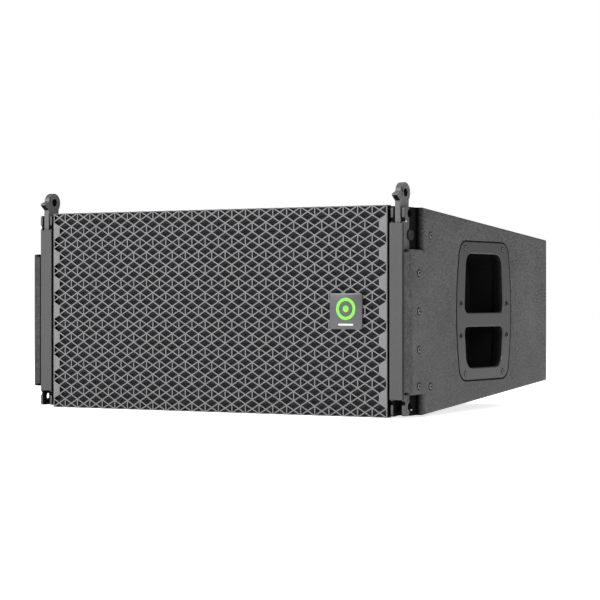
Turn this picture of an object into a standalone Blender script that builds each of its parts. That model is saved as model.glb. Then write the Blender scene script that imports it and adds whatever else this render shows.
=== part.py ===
"""Dual eight-inch line array speaker cabinet with sliding front links and a hinged rear link.

Units are metres and +Z is up. The grille faces -Y, and +X is on the right of somebody who looks
at the grille. Every piece is modelled in the cabinet's own frame: y = 0 on the front face of the
rail covers and z = 0 on the bottom front edge. The empty "cabinet_frame" carries them all, and
puts the middle of the whole object's footprint at the world's origin.
"""

import math

import bmesh
import bpy
from mathutils import Vector

# ---------------------------------------------------------------- driving dimensions

# Cabinet
WIDTH = 0.670
FRONT_HEIGHT = 0.300
DEPTH = 0.450
TAPER = math.radians(5.0)
SIDE_PLY = 0.015
PANEL_PLY = 0.015
BAFFLE_PLY = 0.018
BRACE_PLY = 0.012
BRACE_RIM = 0.040
BRACE_TALL_RIM = 0.045
BRACE_CORNER = 0.025
CLEAT_PLY = 0.015
EDGE_ROUND = 0.004
SIDE_SETBACK = 0.0015
BAFFLE_SETBACK = 0.020

# Gaps between pieces
SEAT = 0.0003
SEAM = 0.0009
RUNNING = 0.00035

# Front rails and their covers
RAIL_WALL = 0.005
RAIL_WEB = 0.003
RAIL_BACK = 0.036
RAIL_END = 0.003
RAIL_LET_IN = 0.0019
COVER_WIDTH = 0.021
COVER_THICK = 0.0025
COVER_CORNER = 0.0015
COVER_EASE = 0.0006
RAIL_CORNER = 0.003
RAIL_NOTCH_RADIUS = 0.003
RAIL_NOTCH_RISE = 0.0045

# Front links
LINK_THICK = 0.009
LINK_WIDTH = 0.0256
LINK_SIDE_PLAY = 0.0015
LINK_HEAD_RADIUS = 0.0145
LINK_TAIL = 0.0145
LINK_TAIL_ROUND = 0.006
LINK_RISE = 0.0175
LINK_TRAVEL = 0.030
PIN_BORE = 0.0115
PIN_SETBACK = 0.018
STACK_GAP = 0.0013
BEAK_LOW = 0.0055
BEAK_TALL = 0.0131
BEAK_REACH = 0.0091
BEAK_SLOPE = 0.0030
BEAK_TIP_TALL = 0.0036
BEAK_TIP_ROUND = 0.0008
BEAK_CLEAR = 0.0010
PIN_BOSS_RADIUS = 0.0110
PIN_BOSS_RISE = 0.0004
BOLT_HEAD_RADIUS = 0.008
BOLT_HEAD_THICK = 0.003
BOLT_HEAD_CHAMFER = 0.0008
RECESS_MARGIN = 0.0125
RECESS_UNDER_PIN = 0.0163
SHOULDER_RUN = 0.0073

# Side handles
HANDLE_SETBACK = 0.228
HANDLE_WIDTH = 0.182
HANDLE_HEIGHT = 0.205
HANDLE_CORNER = 0.022
HANDLE_SIDE_RADIUS = 0.429
HANDLE_PLATE = 0.004
HANDLE_BAR_DEPTH = 0.015
HANDLE_DEPTH = 0.055
HANDLE_WALL = 0.003
HANDLE_EASE = 0.0012
HANDLE_BAR_TOP = -0.0030
HANDLE_BAR_BOTTOM = -0.0235
HANDLE_RIM_TOP = 0.0180
HANDLE_RIM_BOTTOM = 0.0185
HANDLE_RIM_SIDE = 0.0265
HANDLE_WINDOW_TAPER = 0.0055
HANDLE_WINDOW_LOW = 0.0020
HANDLE_ROUND_BIG = 0.018
HANDLE_ROUND_TOP_BAR = 0.010
HANDLE_ROUND_LOW_BAR = 0.009
CUP_RIM_TALL = 0.017
CUP_RIM_WIDE = 0.025
CUP_TAPER = 0.006
CUP_BULGE_LOW = -0.030
CUP_BULGE_HIGH = 0.015
CUP_BULGE_ROUND = 0.060
CUP_DRAFT = 0.86
CUP_CLEAR = 0.0005

# Grille, foam and badge
GRILLE_GAP = 0.0036
GRILLE_SHEET = 0.0015
GRILLE_FLANGE = 0.014
GRILLE_ROUND = 0.0012
FOAM_THICK = 0.008
BADGE_WIDTH = 0.053
BADGE_HEIGHT = 0.051
BADGE_THICK = 0.002
BADGE_X = 0.230
BADGE_CORNER = 0.003

# Woofers
WOOFER_FLANGE_RADIUS = 0.105
WOOFER_HOLE_RADIUS = 0.093
WOOFER_FLANGE = 0.004
BASKET_SHEET = 0.0022
BASKET_DEPTH = 0.060
BASKET_NECK_RADIUS = 0.052
CONE_RADIUS = 0.0785
CONE_DEPTH = 0.038
CONE_PAPER = 0.0010
COIL_RADIUS = 0.0283
COIL_WALL = 0.0018
COIL_LENGTH = 0.032
MAGNET_RADIUS = 0.070
MAGNET_THICK = 0.035
MAGNET_GAP = 0.0040
MAGNET_GAP_DEPTH = 0.022
SURROUND_SHEET = 0.0010
SPIDER_SHEET = 0.0008

# High-frequency waveguide and driver
BASKET_STEP = 0.012
BASKET_WINDOWS = 6
BASKET_WINDOW_WIDTH = 0.028
BASKET_WINDOW_RIM = 0.010
BASKET_WINDOW_ROOT = 0.012
TOP_PLATE_THICK = 0.006
TOP_PLATE_SHOULDER = 0.008
SURROUND_DROP = 0.003
COIL_CLEAR = 0.004
CONE_RIM_DROP = 0.001
DUST_CAP_LAP = 0.003
DUST_CAP_RISE = 0.011
DUST_CAP_SHEET = 0.001
SPIDER_LAND = 0.0008
SPIDER_SET_BACK = 0.004
SPIDER_WAVE = 0.0012

HORN_WIDTH = 0.136
HORN_HEIGHT = 0.236
HORN_RIM = 0.014
HORN_DEPTH = 0.095
HORN_WALL = 0.003
HORN_CORNER = 0.020
HORN_PLATE_CORNER = 0.008
HORN_MOUTH_RIM = 0.018
HORN_MOUTH_CORNER = 0.016
HORN_WAIST_CORNER = 0.015
HORN_STEP = 0.012
THROAT_RADIUS = 0.018
DRIVER_RADIUS = 0.045
DRIVER_LENGTH = 0.052
DRIVER_SHOULDER = 0.006
DRIVER_PLATE = 0.008
DRIVER_RING_BACK = 0.030
DRIVER_CAP_STEP = 0.008
DRIVER_CAP_CHAMFER = 0.004
DRIVER_THROAT_DEPTH = 0.012

# Rear bracket, link and pin
BRACKET_WIDTH = 0.090
BRACKET_HEIGHT = 0.180
BRACKET_PLATE = 0.004
BRACKET_CORNER = 0.008
EAR_THICK = 0.005
EAR_INSET = 0.005
EAR_LEAN = 0.004
EAR_CORNER = 0.012
EAR_REACH = 0.045
REAR_LINK_THICK = 0.008
REAR_LINK_WIDTH = 0.028
REAR_LINK_LENGTH = 0.150
REAR_LINK_PLAY = 0.0025
REAR_LINK_HOLES = 5
REAR_LINK_PITCH = 0.022
REAR_FORK_RISES = (0.020, 0.045)
REAR_BOSS_RADIUS = 0.0075
REAR_PIVOT_RISE = 0.065
REAR_PIVOT_RADIUS = 0.006
PIVOT_CAP_RADIUS = 0.010
PIVOT_CAP_TALL = 0.006
CHAMFER = 0.001
LOCK_PIN_RADIUS = 0.004
LOCK_PIN_DROP = 0.055
LOCK_PIN_STAND_OFF = 0.003
LOCK_PIN_TIP = 0.003
KNOB_LIP = 0.0015
KNOB_LENGTH = 0.019

# Electrics
PLATE_WIDTH = 0.150
PLATE_HEIGHT = 0.100
PLATE_THICK = 0.002
PLATE_CORNER = 0.006
PLATE_X = 0.175
SOCKET_SPACING = 0.056
SOCKET_RADIUS = 0.0118
SOCKET_DEPTH = 0.016
SOCKET_WALL = 0.0018
SOCKET_FLOOR = 0.006
SOCKET_CLEAR = 0.0005
SOCKET_FLANGE = 0.026
SOCKET_FLANGE_THICK = 0.0025
SOCKET_FLANGE_CORNER = 0.003
BOARD_WIDTH = 0.130
BOARD_HEIGHT = 0.110
BOARD_THICK = 0.002
BOARD_X = -0.182
CAPACITOR_LENGTH = 0.042
CAPACITOR_X = 0.012
# Each coil: its name, x and z on the board, outer and inner radius, and height.
COILS = (("coil_low", -0.034, 0.026, 0.026, 0.011, 0.024),
         ("coil_high", -0.040, -0.028, 0.018, 0.007, 0.018))
# Each capacitor: its name, z on the board and radius.
CAPACITORS = (("capacitor_low", 0.030, 0.013), ("capacitor_high", -0.005, 0.009))

# Facets
ROUND_STEPS = 24
INNER_STEPS = 20
CORNER_STEPS = 4
SHOULDER_STEPS = 8

# How far a cutting shape runs past what it cuts, and past the cabinet's top and bottom.
OVERCUT = 0.010
TALL_CUT = 0.050

# ---------------------------------------------------------------- derived places

HALF_WIDTH = WIDTH / 2
MID_Z = FRONT_HEIGHT / 2
SIDE_INNER = HALF_WIDTH - SIDE_PLY

LINK_SLOT = LINK_THICK + 2 * LINK_SIDE_PLAY
RAIL_OUT = SIDE_INNER + RAIL_LET_IN
RAIL_IN = RAIL_OUT - 2 * RAIL_WALL - LINK_SLOT
SLOT_OUT = RAIL_OUT - RAIL_WALL
SLOT_IN = RAIL_IN + RAIL_WALL
RAIL_FRONT = COVER_THICK + SEAT
COVER_OUT = SIDE_INNER
COVER_IN = COVER_OUT - COVER_WIDTH
LINK_FRONT = RAIL_FRONT + SEAT
LINK_BACK = LINK_FRONT + LINK_WIDTH
BEAK_TIP = LINK_FRONT - BEAK_REACH

LINK_PIN_Z = FRONT_HEIGHT + LINK_RISE
LOCK_Z = LINK_PIN_Z - LINK_TRAVEL
GUIDE_Z = LINK_PIN_Z - 2 * LINK_TRAVEL
FORK_Z = LINK_RISE - STACK_GAP
COVER_TOP = FRONT_HEIGHT + BEAK_LOW - LINK_TRAVEL - BEAK_CLEAR
COVER_BOTTOM = FRONT_HEIGHT - COVER_TOP
TONGUE_TOP = GUIDE_Z - BOLT_HEAD_RADIUS - RECESS_MARGIN
TONGUE_BOTTOM = FORK_Z + RECESS_UNDER_PIN

GRILLE_HALF = COVER_IN - GRILLE_GAP
CLEAT_IN = RAIL_IN - SEAT - CLEAT_PLY
CLEAT_FRONT = GRILLE_FLANGE + SEAT
CLEAT_BACK = RAIL_BACK + 2 * SEAT + CLEAT_PLY
BAFFLE_HALF = CLEAT_IN - SEAT
WOOFER_X = (HORN_WIDTH / 2 + BAFFLE_HALF) / 2
DRIVER_FACE = BAFFLE_SETBACK - SEAT - WOOFER_FLANGE
MAGNET_FRONT = DRIVER_FACE + BASKET_DEPTH + 2 * BASKET_SHEET + SEAT
BRACE_X = HORN_WIDTH / 2 + 0.027
BRACE_FRONT = MAGNET_FRONT + MAGNET_THICK + 0.014
BACK_INNER = DEPTH - PANEL_PLY

PIVOT_Y = DEPTH + SEAT + EAR_REACH - REAR_LINK_WIDTH / 2
PIVOT_Z = MID_Z + REAR_PIVOT_RISE
EAR_OUT = REAR_LINK_THICK / 2 + REAR_LINK_PLAY + EAR_THICK
OVERALL_BACK = DEPTH + SEAT + BRACKET_PLATE + EAR_REACH

FOOTPRINT_MIDDLE = (BEAK_TIP + OVERALL_BACK) / 2


def top_z(y):
    """Height of the cabinet's top face at a depth."""
    return FRONT_HEIGHT - y * math.tan(TAPER)


def bottom_z(y):
    """Height of the cabinet's bottom face at a depth."""
    return y * math.tan(TAPER)


def ceiling_z(y):
    """Underside of the top panel, less a seating gap."""
    return top_z(y) - PANEL_PLY / math.cos(TAPER) - SEAT


def ground_z(y):
    """Upper side of the bottom panel, plus a seating gap."""
    return bottom_z(y) + PANEL_PLY / math.cos(TAPER) + SEAT


# ---------------------------------------------------------------- outlines

def arc(centre, radius, start, end, steps):
    """Points on a circle from one angle to another, in degrees."""
    points = []
    for step in range(steps + 1):
        angle = math.radians(start + (end - start) * step / steps)
        points.append((centre[0] + radius * math.cos(angle), centre[1] + radius * math.sin(angle)))
    return points


def circle(centre, radius, steps=ROUND_STEPS):
    return arc(centre, radius, 0, 360, steps)[:-1]


def rounded(corners, steps=CORNER_STEPS):
    """A polygon from (u, v, radius) corners, each turned into an arc."""
    points = []
    for index, (u, v, radius) in enumerate(corners):
        here = Vector((u, v))
        before = (Vector(corners[index - 1][:2]) - here).normalized()
        after = (Vector(corners[(index + 1) % len(corners)][:2]) - here).normalized()
        if radius == 0:
            points.append((u, v))
            continue
        half = before.angle(after) / 2
        centre = here + (before + after).normalized() * (radius / math.sin(half))
        first = here + before * (radius / math.tan(half)) - centre
        last = here + after * (radius / math.tan(half)) - centre
        turn = first.angle_signed(last)
        start = math.degrees(math.atan2(first.y, first.x))
        points.extend(arc(centre, radius, start, start - math.degrees(turn), steps))
    return points


def box_outline(u_low, v_low, u_high, v_high, radius=0.0):
    return rounded([(u_low, v_low, radius), (u_high, v_low, radius),
                    (u_high, v_high, radius), (u_low, v_high, radius)])


def slot_outline(u, v_low, v_high, radius):
    """A slot with round ends, along v."""
    half = ROUND_STEPS // 2
    return arc((u, v_high), radius, 0, 180, half) + arc((u, v_low), radius, 180, 360, half)


# ---------------------------------------------------------------- solids

PLACE = {
    "X": lambda along, u, v: (along, u, v),
    "Y": lambda along, u, v: (u, along, v),
    "Z": lambda along, u, v: (u, v, along),
}


def finish_normals(bm):
    bmesh.ops.recalc_face_normals(bm, faces=bm.faces)
    return bm


def add_prism(bm, outline, axis, low, high):
    """Adds the outline, pushed along an axis from low to high."""
    place = PLACE[axis]
    face = bm.faces.new([bm.verts.new(place(low, u, v)) for u, v in outline])
    grown = bmesh.ops.extrude_face_region(bm, geom=[face])["geom"]
    moved = [item for item in grown if isinstance(item, bmesh.types.BMVert)]
    bmesh.ops.translate(bm, verts=moved, vec=Vector(place(high, 0, 0)) - Vector(place(low, 0, 0)))


def prism(outline, axis, low, high):
    bm = bmesh.new()
    add_prism(bm, outline, axis, low, high)
    return finish_normals(bm)


def prisms(outlines, axis, low, high):
    """Several prisms that stay clear of each other, as one cutter."""
    bm = bmesh.new()
    for outline in outlines:
        add_prism(bm, outline, axis, low, high)
    return finish_normals(bm)


def loft(sections, axis):
    """A closed solid through outlines of equal point counts, given as (along, outline)."""
    bm = bmesh.new()
    place = PLACE[axis]
    rings = []
    for along, outline in sections:
        ring = [bm.verts.new(place(along, u, v)) for u, v in outline]
        edges = [bm.edges.new((ring[i - 1], ring[i])) for i in range(len(ring))]
        rings.append((ring, edges))
    for (_, lower), (_, upper) in zip(rings, rings[1:]):
        bmesh.ops.bridge_loops(bm, edges=lower + upper)
    bm.faces.new(rings[0][0])
    bm.faces.new(rings[-1][0])
    return finish_normals(bm)


def turned(profile, axis, steps=INNER_STEPS):
    """A turned solid from a closed profile of (radius, along) points."""
    bm = bmesh.new()
    place = PLACE[axis]
    direction = Vector(place(1, 0, 0))
    verts = [bm.verts.new(place(along, radius, 0)) for radius, along in profile]
    edges = []
    for index, (radius, _) in enumerate(profile):
        if max(radius, profile[index - 1][0]) > 0:
            edges.append(bm.edges.new((verts[index - 1], verts[index])))
    bmesh.ops.spin(bm, geom=verts + edges, cent=(0, 0, 0), axis=direction, angle=math.tau,
                   steps=steps, use_merge=True)
    bmesh.ops.remove_doubles(bm, verts=bm.verts, dist=1e-6)
    return finish_normals(bm)


def between_panels(y_front, y_back, x_low, x_high):
    """A block that fills the space between the bottom and top panels."""
    outline = [(y_front, ground_z(y_front)), (y_back, ground_z(y_back)),
               (y_back, ceiling_z(y_back)), (y_front, ceiling_z(y_front))]
    return prism(outline, "X", x_low, x_high)


# ---------------------------------------------------------------- materials and objects

FINISHES = {
    "textured_paint": ((0.080, 0.080, 0.082), 0.80, 0.0),
    "raw_plywood": ((0.520, 0.370, 0.210), 0.70, 0.0),
    "powder_coat": ((0.130, 0.130, 0.135), 0.50, 0.3),
    "black_oxide": ((0.030, 0.030, 0.032), 0.40, 0.9),
    "zinc_plate": ((0.600, 0.600, 0.580), 0.35, 1.0),
    "moulded_handle": ((0.100, 0.100, 0.102), 0.45, 0.0),
    "open_foam": ((0.045, 0.045, 0.047), 0.95, 0.0),
    "badge_metal": ((0.150, 0.150, 0.155), 0.40, 0.6),
    "cast_basket": ((0.060, 0.060, 0.060), 0.55, 0.5),
    "ferrite": ((0.070, 0.070, 0.075), 0.60, 0.2),
    "cone_paper": ((0.040, 0.040, 0.040), 0.85, 0.0),
    "rubber": ((0.025, 0.025, 0.025), 0.70, 0.0),
    "copper": ((0.720, 0.360, 0.200), 0.35, 1.0),
    "spider_cloth": ((0.600, 0.480, 0.250), 0.90, 0.0),
    "horn_plastic": ((0.030, 0.030, 0.032), 0.50, 0.0),
    "board_green": ((0.030, 0.160, 0.070), 0.50, 0.0),
    "socket_plastic": ((0.020, 0.020, 0.022), 0.40, 0.0),
    "capacitor_film": ((0.480, 0.400, 0.120), 0.40, 0.0),
}


def material(name, finish):
    colour, roughness, metallic = FINISHES[finish]
    made = bpy.data.materials.new(name + "_finish")
    made.use_nodes = True
    shader = made.node_tree.nodes["Principled BSDF"]
    shader.inputs["Base Color"].default_value = (*colour, 1.0)
    shader.inputs["Roughness"].default_value = roughness
    shader.inputs["Metallic"].default_value = metallic
    made.diffuse_color = (*colour, 1.0)
    return made


def empty(name, parent, at):
    made = bpy.data.objects.new(name, None)
    made.empty_display_size = 0.02
    made.parent = parent
    made.location = at
    bpy.context.scene.collection.objects.link(made)
    return made


def new_object(name, bm, parent, at=(0, 0, 0)):
    mesh = bpy.data.meshes.new(name)
    bm.to_mesh(mesh)
    bm.free()
    mesh.shade_smooth()
    mesh.set_sharp_from_angle(angle=math.radians(35))
    made = bpy.data.objects.new(name, mesh)
    made.parent = parent
    made.location = at
    bpy.context.scene.collection.objects.link(made)
    return made


def piece(name, bm, finish, parent, at=(0, 0, 0)):
    """One sub-part of the speaker, as a named object with its material."""
    made = new_object(name, bm, parent, at)
    made.data.materials.append(material(name, finish))
    return made


def shape_with(target, operation, bm):
    """Cuts a tool shape out of a piece, or adds it to the piece."""
    number = len(target.modifiers) + 1
    tool = new_object(f"{target.name}_tool_{number}", bm, target.parent, target.location)
    tool.hide_render = True
    tool.display_type = "WIRE"
    modifier = target.modifiers.new(f"{operation.lower()}_{number}", "BOOLEAN")
    modifier.operation = operation
    modifier.solver = "EXACT"
    modifier.object = tool


def cut(target, bm):
    shape_with(target, "DIFFERENCE", bm)


def join(target, bm):
    shape_with(target, "UNION", bm)


def round_edges(bm, radius, segments, wanted):
    """Rounds the edges whose middle the test accepts."""
    edges = [edge for edge in bm.edges if wanted((edge.verts[0].co + edge.verts[1].co) / 2)]
    bmesh.ops.bevel(bm, geom=edges, offset=radius, segments=segments, profile=0.5,
                    affect="EDGES", material=-1, clamp_overlap=True)
    return finish_normals(bm)


def span(side, near, far):
    """The low and high x of a range that is given outwards from the middle."""
    return tuple(sorted((side * near, side * far)))


# ---------------------------------------------------------------- cabinet

def make_top_or_bottom(name, frame, face, inside):
    """A full-width panel behind the grille's folded edge, notched at its front corners for the rails."""
    step = -1 if face(0) > inside(0) else 1
    front = GRILLE_FLANGE + SEAT
    skin = inside(0) - step * SEAT - face(0)
    outline = rounded([(front, face(front), 0), (DEPTH, face(DEPTH), EDGE_ROUND),
                       (DEPTH, face(DEPTH) + skin, 0), (front, face(front) + skin, 0)])
    panel = piece(name, prism(outline, "X", SEAT - SIDE_INNER, SIDE_INNER - SEAT),
                  "textured_paint", frame)
    notch = bmesh.new()
    for side in (-1, 1):
        low, high = span(side, RAIL_IN - SEAT, WIDTH)
        corner = box_outline(-OVERCUT, -TALL_CUT, RAIL_BACK + SEAT, FRONT_HEIGHT + TALL_CUT)
        add_prism(notch, corner, "X", low, high)
    cut(panel, finish_normals(notch))


def handle_plate_outline(grow):
    """The handle's outline, with bulging sides; y and z from the handle's middle."""
    half_width = HANDLE_WIDTH / 2 + grow
    half_height = HANDLE_HEIGHT / 2 + grow
    corner = HANDLE_CORNER + grow
    big = HANDLE_SIDE_RADIUS
    corner_v = half_height - corner
    corner_u = half_width - big + math.sqrt((big - corner) ** 2 - corner_v ** 2)
    lean = math.degrees(math.asin(corner_v / (big - corner)))
    right = arc((half_width - big, 0), big, -lean, lean, 6)
    top_right = arc((corner_u, corner_v), corner, lean, 90, 5)[1:]
    quarter = right[len(right) // 2:] + top_right
    upper = quarter + [(-u, v) for u, v in reversed(quarter)]
    return upper + [(-u, -v) for u, v in upper[1:-1]]


def handle_window(v_low, v_high, u_low, u_high, radius_low, radius_high, grow):
    """One hand opening, symmetric about the handle's middle line."""
    return rounded([(-u_low - grow, v_low - grow, radius_low + grow),
                    (u_low + grow, v_low - grow, radius_low + grow),
                    (u_high + grow, v_high + grow, radius_high + grow),
                    (-u_high - grow, v_high + grow, radius_high + grow)])


def handle_windows(grow):
    """The upper and the lower hand opening; the grip bar is what is left between them."""
    top = HANDLE_HEIGHT / 2 - HANDLE_RIM_TOP
    bottom = HANDLE_RIM_BOTTOM - HANDLE_HEIGHT / 2
    wide = HANDLE_WIDTH / 2 - HANDLE_RIM_SIDE
    narrow = wide - HANDLE_WINDOW_TAPER
    upper = handle_window(HANDLE_BAR_TOP, top, wide, narrow,
                          HANDLE_ROUND_TOP_BAR, HANDLE_ROUND_BIG, grow)
    lower = handle_window(bottom, HANDLE_BAR_BOTTOM, narrow - HANDLE_WINDOW_LOW, wide,
                          HANDLE_ROUND_BIG, HANDLE_ROUND_LOW_BAR, grow)
    return upper, lower


def handle_cup_outline(grow, scale=1.0):
    """The cup behind both openings, drawn in by a scale towards its bottom."""
    tall = HANDLE_HEIGHT / 2 - CUP_RIM_TALL + grow
    wide = HANDLE_WIDTH / 2 - CUP_RIM_WIDE + grow
    narrow = wide - CUP_TAPER
    end = HANDLE_ROUND_BIG
    bulge = CUP_BULGE_ROUND
    corners = [(-narrow, -tall, end), (narrow, -tall, end),
               (wide, CUP_BULGE_LOW, bulge), (wide, CUP_BULGE_HIGH, bulge),
               (narrow, tall, end), (-narrow, tall, end),
               (-wide, CUP_BULGE_HIGH, bulge), (-wide, CUP_BULGE_LOW, bulge)]
    return [(u * scale, v * scale) for u, v in rounded(corners)]


def make_side_panel(name, frame, side):
    """A side panel. A tongue runs forward between the two pin recesses of the front rail."""
    low, high = span(side, SIDE_INNER, HALF_WIDTH)
    front = RAIL_BACK + SEAT
    outline = [(front, bottom_z(front)), (DEPTH, bottom_z(DEPTH)),
               (DEPTH, top_z(DEPTH)), (front, top_z(front))]
    face_x = side * HALF_WIDTH
    plate = round_edges(prism(outline, "X", low, high), EDGE_ROUND, 3,
                        lambda mid: abs(mid.x - face_x) < 1e-5 and mid.y > front + SEAT)
    panel = piece(name, plate, "textured_paint", frame)

    floor = RAIL_OUT + SEAT
    rise = HALF_WIDTH - floor
    # The shoulder rolls the panel's face over and down to the recesses' floor.
    shoulder = [(front - OVERCUT, floor), (front - OVERCUT, HALF_WIDTH + OVERCUT),
                (front + SHOULDER_RUN, HALF_WIDTH + OVERCUT)]
    for step in range(SHOULDER_STEPS + 1):
        angle = math.radians(90 * step / SHOULDER_STEPS)
        shoulder.append((front + SHOULDER_RUN * (1 - math.sin(angle)),
                         HALF_WIDTH - rise * (1 - math.cos(angle))))
    cut(panel, prism([(side * x, y) for y, x in shoulder], "Z", -TALL_CUT, FRONT_HEIGHT + TALL_CUT))

    tongue_outline = box_outline(SIDE_SETBACK, TONGUE_BOTTOM, front + 4 * SHOULDER_RUN, TONGUE_TOP)
    near, far = span(side, floor, HALF_WIDTH)
    tongue = round_edges(prism(tongue_outline, "X", near, far), EDGE_ROUND, 3,
                         lambda mid: abs(mid.x - face_x) < 1e-5 and mid.y < front + 3 * SHOULDER_RUN)
    join(panel, tongue)

    centre = (HANDLE_SETBACK, MID_Z)
    rebate = [(centre[0] + u, centre[1] + v) for u, v in handle_plate_outline(SEAM)]
    pocket = [(centre[0] + u, centre[1] + v) for u, v in handle_cup_outline(HANDLE_WALL + CUP_CLEAR)]
    near, far = span(side, HALF_WIDTH - HANDLE_PLATE - SEAT, HALF_WIDTH + OVERCUT)
    cut(panel, prism(rebate, "X", near, far))
    near, far = span(side, SIDE_INNER - OVERCUT, HALF_WIDTH + OVERCUT)
    cut(panel, prism(pocket, "X", near, far))


def make_handle(name, frame, side):
    """A moulded plate with two hand openings into one closed cup, either side of the grip bar."""
    at = (side * HALF_WIDTH, HANDLE_SETBACK, MID_Z)

    def inwards(depth):
        return -side * depth

    near, far = sorted((inwards(HANDLE_PLATE), 0.0))
    handle = piece(name, prism(handle_plate_outline(0), "X", near, far), "moulded_handle", frame, at)
    join(handle, loft([(inwards(HANDLE_PLATE / 2), handle_cup_outline(HANDLE_WALL)),
                       (inwards(SIDE_PLY), handle_cup_outline(HANDLE_WALL)),
                       (inwards(HANDLE_DEPTH), handle_cup_outline(HANDLE_WALL, CUP_DRAFT))], "X"))
    cut(handle, loft([(inwards(HANDLE_BAR_DEPTH), handle_cup_outline(0)),
                      (inwards(HANDLE_DEPTH - HANDLE_WALL), handle_cup_outline(0, CUP_DRAFT))], "X"))
    for number in (0, 1):
        cut(handle, loft([(inwards(HANDLE_BAR_DEPTH + HANDLE_EASE), handle_windows(0)[number]),
                          (inwards(HANDLE_EASE), handle_windows(0)[number]),
                          (inwards(0.0), handle_windows(HANDLE_EASE)[number]),
                          (inwards(-HANDLE_EASE), handle_windows(HANDLE_EASE)[number])], "X"))


def make_back_panel(frame):
    """The back panel, with a rebate for the input plate and a hole for each socket."""
    panel = piece("back_panel", between_panels(BACK_INNER, DEPTH, SEAT - SIDE_INNER, SIDE_INNER - SEAT),
                  "textured_paint", frame)
    half_width = PLATE_WIDTH / 2 + SEAM / 2
    half_height = PLATE_HEIGHT / 2 + SEAM / 2
    rebate = box_outline(PLATE_X - half_width, MID_Z - half_height, PLATE_X + half_width,
                         MID_Z + half_height, PLATE_CORNER)
    cut(panel, prism(rebate, "Y", DEPTH - PLATE_THICK - SEAT, DEPTH + OVERCUT))
    holes = [circle((x, MID_Z), SOCKET_RADIUS + 2 * SOCKET_CLEAR, INNER_STEPS) for x in socket_places()]
    cut(panel, prisms(holes, "Y", BACK_INNER - OVERCUT, DEPTH + OVERCUT))


def make_baffle(frame):
    """The baffle, with a round hole for each woofer and a slot for the waveguide."""
    back = BAFFLE_SETBACK + BAFFLE_PLY
    baffle = piece("front_baffle", between_panels(BAFFLE_SETBACK, back, -BAFFLE_HALF, BAFFLE_HALF),
                   "raw_plywood", frame)
    horn = box_outline(HORN_RIM - HORN_WIDTH / 2, MID_Z + HORN_RIM - HORN_HEIGHT / 2,
                       HORN_WIDTH / 2 - HORN_RIM, MID_Z - HORN_RIM + HORN_HEIGHT / 2,
                       HORN_CORNER)
    holes = [circle((side * WOOFER_X, MID_Z), WOOFER_HOLE_RADIUS) for side in (-1, 1)]
    cut(baffle, prisms([*holes, horn], "Y", BAFFLE_SETBACK - OVERCUT, back + OVERCUT))


def make_brace(name, frame, side):
    """A windowed brace that ties the top, bottom and back panels together."""
    low, high = span(side, BRACE_X - BRACE_PLY / 2, BRACE_X + BRACE_PLY / 2)
    back = BACK_INNER - SEAT
    brace = piece(name, between_panels(BRACE_FRONT, back, low, high), "raw_plywood", frame)
    tall = ceiling_z(back) - BRACE_TALL_RIM
    window = box_outline(BRACE_FRONT + BRACE_RIM, FRONT_HEIGHT - tall, back - BRACE_RIM, tall, BRACE_CORNER)
    cut(brace, prism(window, "X", low - OVERCUT, high + OVERCUT))


def make_rail_cleat(name, frame, side):
    """An L-shaped batten that backs the rail and closes the cabinet beside the baffle."""
    low, high = span(side, CLEAT_IN, SIDE_INNER - SEAT)
    cleat = piece(name, between_panels(CLEAT_FRONT, CLEAT_BACK, low, high), "raw_plywood", frame)
    near, far = span(side, RAIL_IN - SEAT, HALF_WIDTH)
    step = box_outline(-OVERCUT, -TALL_CUT, RAIL_BACK + 2 * SEAT, FRONT_HEIGHT + TALL_CUT)
    cut(cleat, prism(step, "X", near, far))


def make_cabinet(frame):
    make_top_or_bottom("top_panel", frame, top_z, ceiling_z)
    make_top_or_bottom("bottom_panel", frame, bottom_z, ground_z)
    make_back_panel(frame)
    make_baffle(frame)
    for label, side in (("left", -1), ("right", 1)):
        make_side_panel(f"side_panel_{label}", frame, side)
        make_handle(f"handle_{label}", frame, side)
        make_brace(f"brace_{label}", frame, side)
        make_rail_cleat(f"rail_cleat_{label}", frame, side)


# ---------------------------------------------------------------- front rigging

def pin_boss(face_x, side, y, z, radius=PIN_BOSS_RADIUS):
    """A thin raised ring's blank, on a face that a pin's head or a plate bears on."""
    low, high = sorted((face_x - side * PIN_BOSS_RISE, face_x + side * PIN_BOSS_RISE))
    return prism(circle((y, z), radius), "X", low, high)


def make_rail(name, frame, side):
    """A steel channel, open to the front: a fork at its foot and the link's guide at its head."""
    outline = box_outline(RAIL_FRONT, RAIL_END, RAIL_BACK, FRONT_HEIGHT - RAIL_END, RAIL_CORNER)
    low, high = span(side, RAIL_IN, RAIL_OUT)
    rail = piece(name, prism(outline, "X", low, high), "powder_coat", frame)
    near, far = span(side, SLOT_IN, SLOT_OUT)
    cut(rail, prism(box_outline(-OVERCUT, -TALL_CUT, RAIL_BACK - RAIL_WEB, FRONT_HEIGHT + TALL_CUT),
                    "X", near, far))
    join(rail, pin_boss(side * RAIL_OUT, side, PIN_SETBACK, FORK_Z))
    holes = [circle((PIN_SETBACK, FORK_Z), PIN_BORE / 2), circle((PIN_SETBACK, LOCK_Z), PIN_BORE / 2),
             circle((PIN_SETBACK, GUIDE_Z), PIN_BORE / 2)]
    for z in (COVER_BOTTOM - RAIL_NOTCH_RISE, COVER_TOP + RAIL_NOTCH_RISE):
        holes.append(circle((RAIL_FRONT, z), RAIL_NOTCH_RADIUS, 12))
    cut(rail, prisms(holes, "X", low - OVERCUT, high + OVERCUT))


def make_rail_cover(name, frame, side):
    """The flat strip that closes the front of the rail."""
    low, high = span(side, COVER_IN, COVER_OUT)
    cover = prism(box_outline(low, COVER_BOTTOM, high, COVER_TOP, COVER_CORNER), "Y", 0, COVER_THICK)
    piece(name, round_edges(cover, COVER_EASE, 1, lambda mid: mid.y < 1e-5), "powder_coat", frame)


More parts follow.
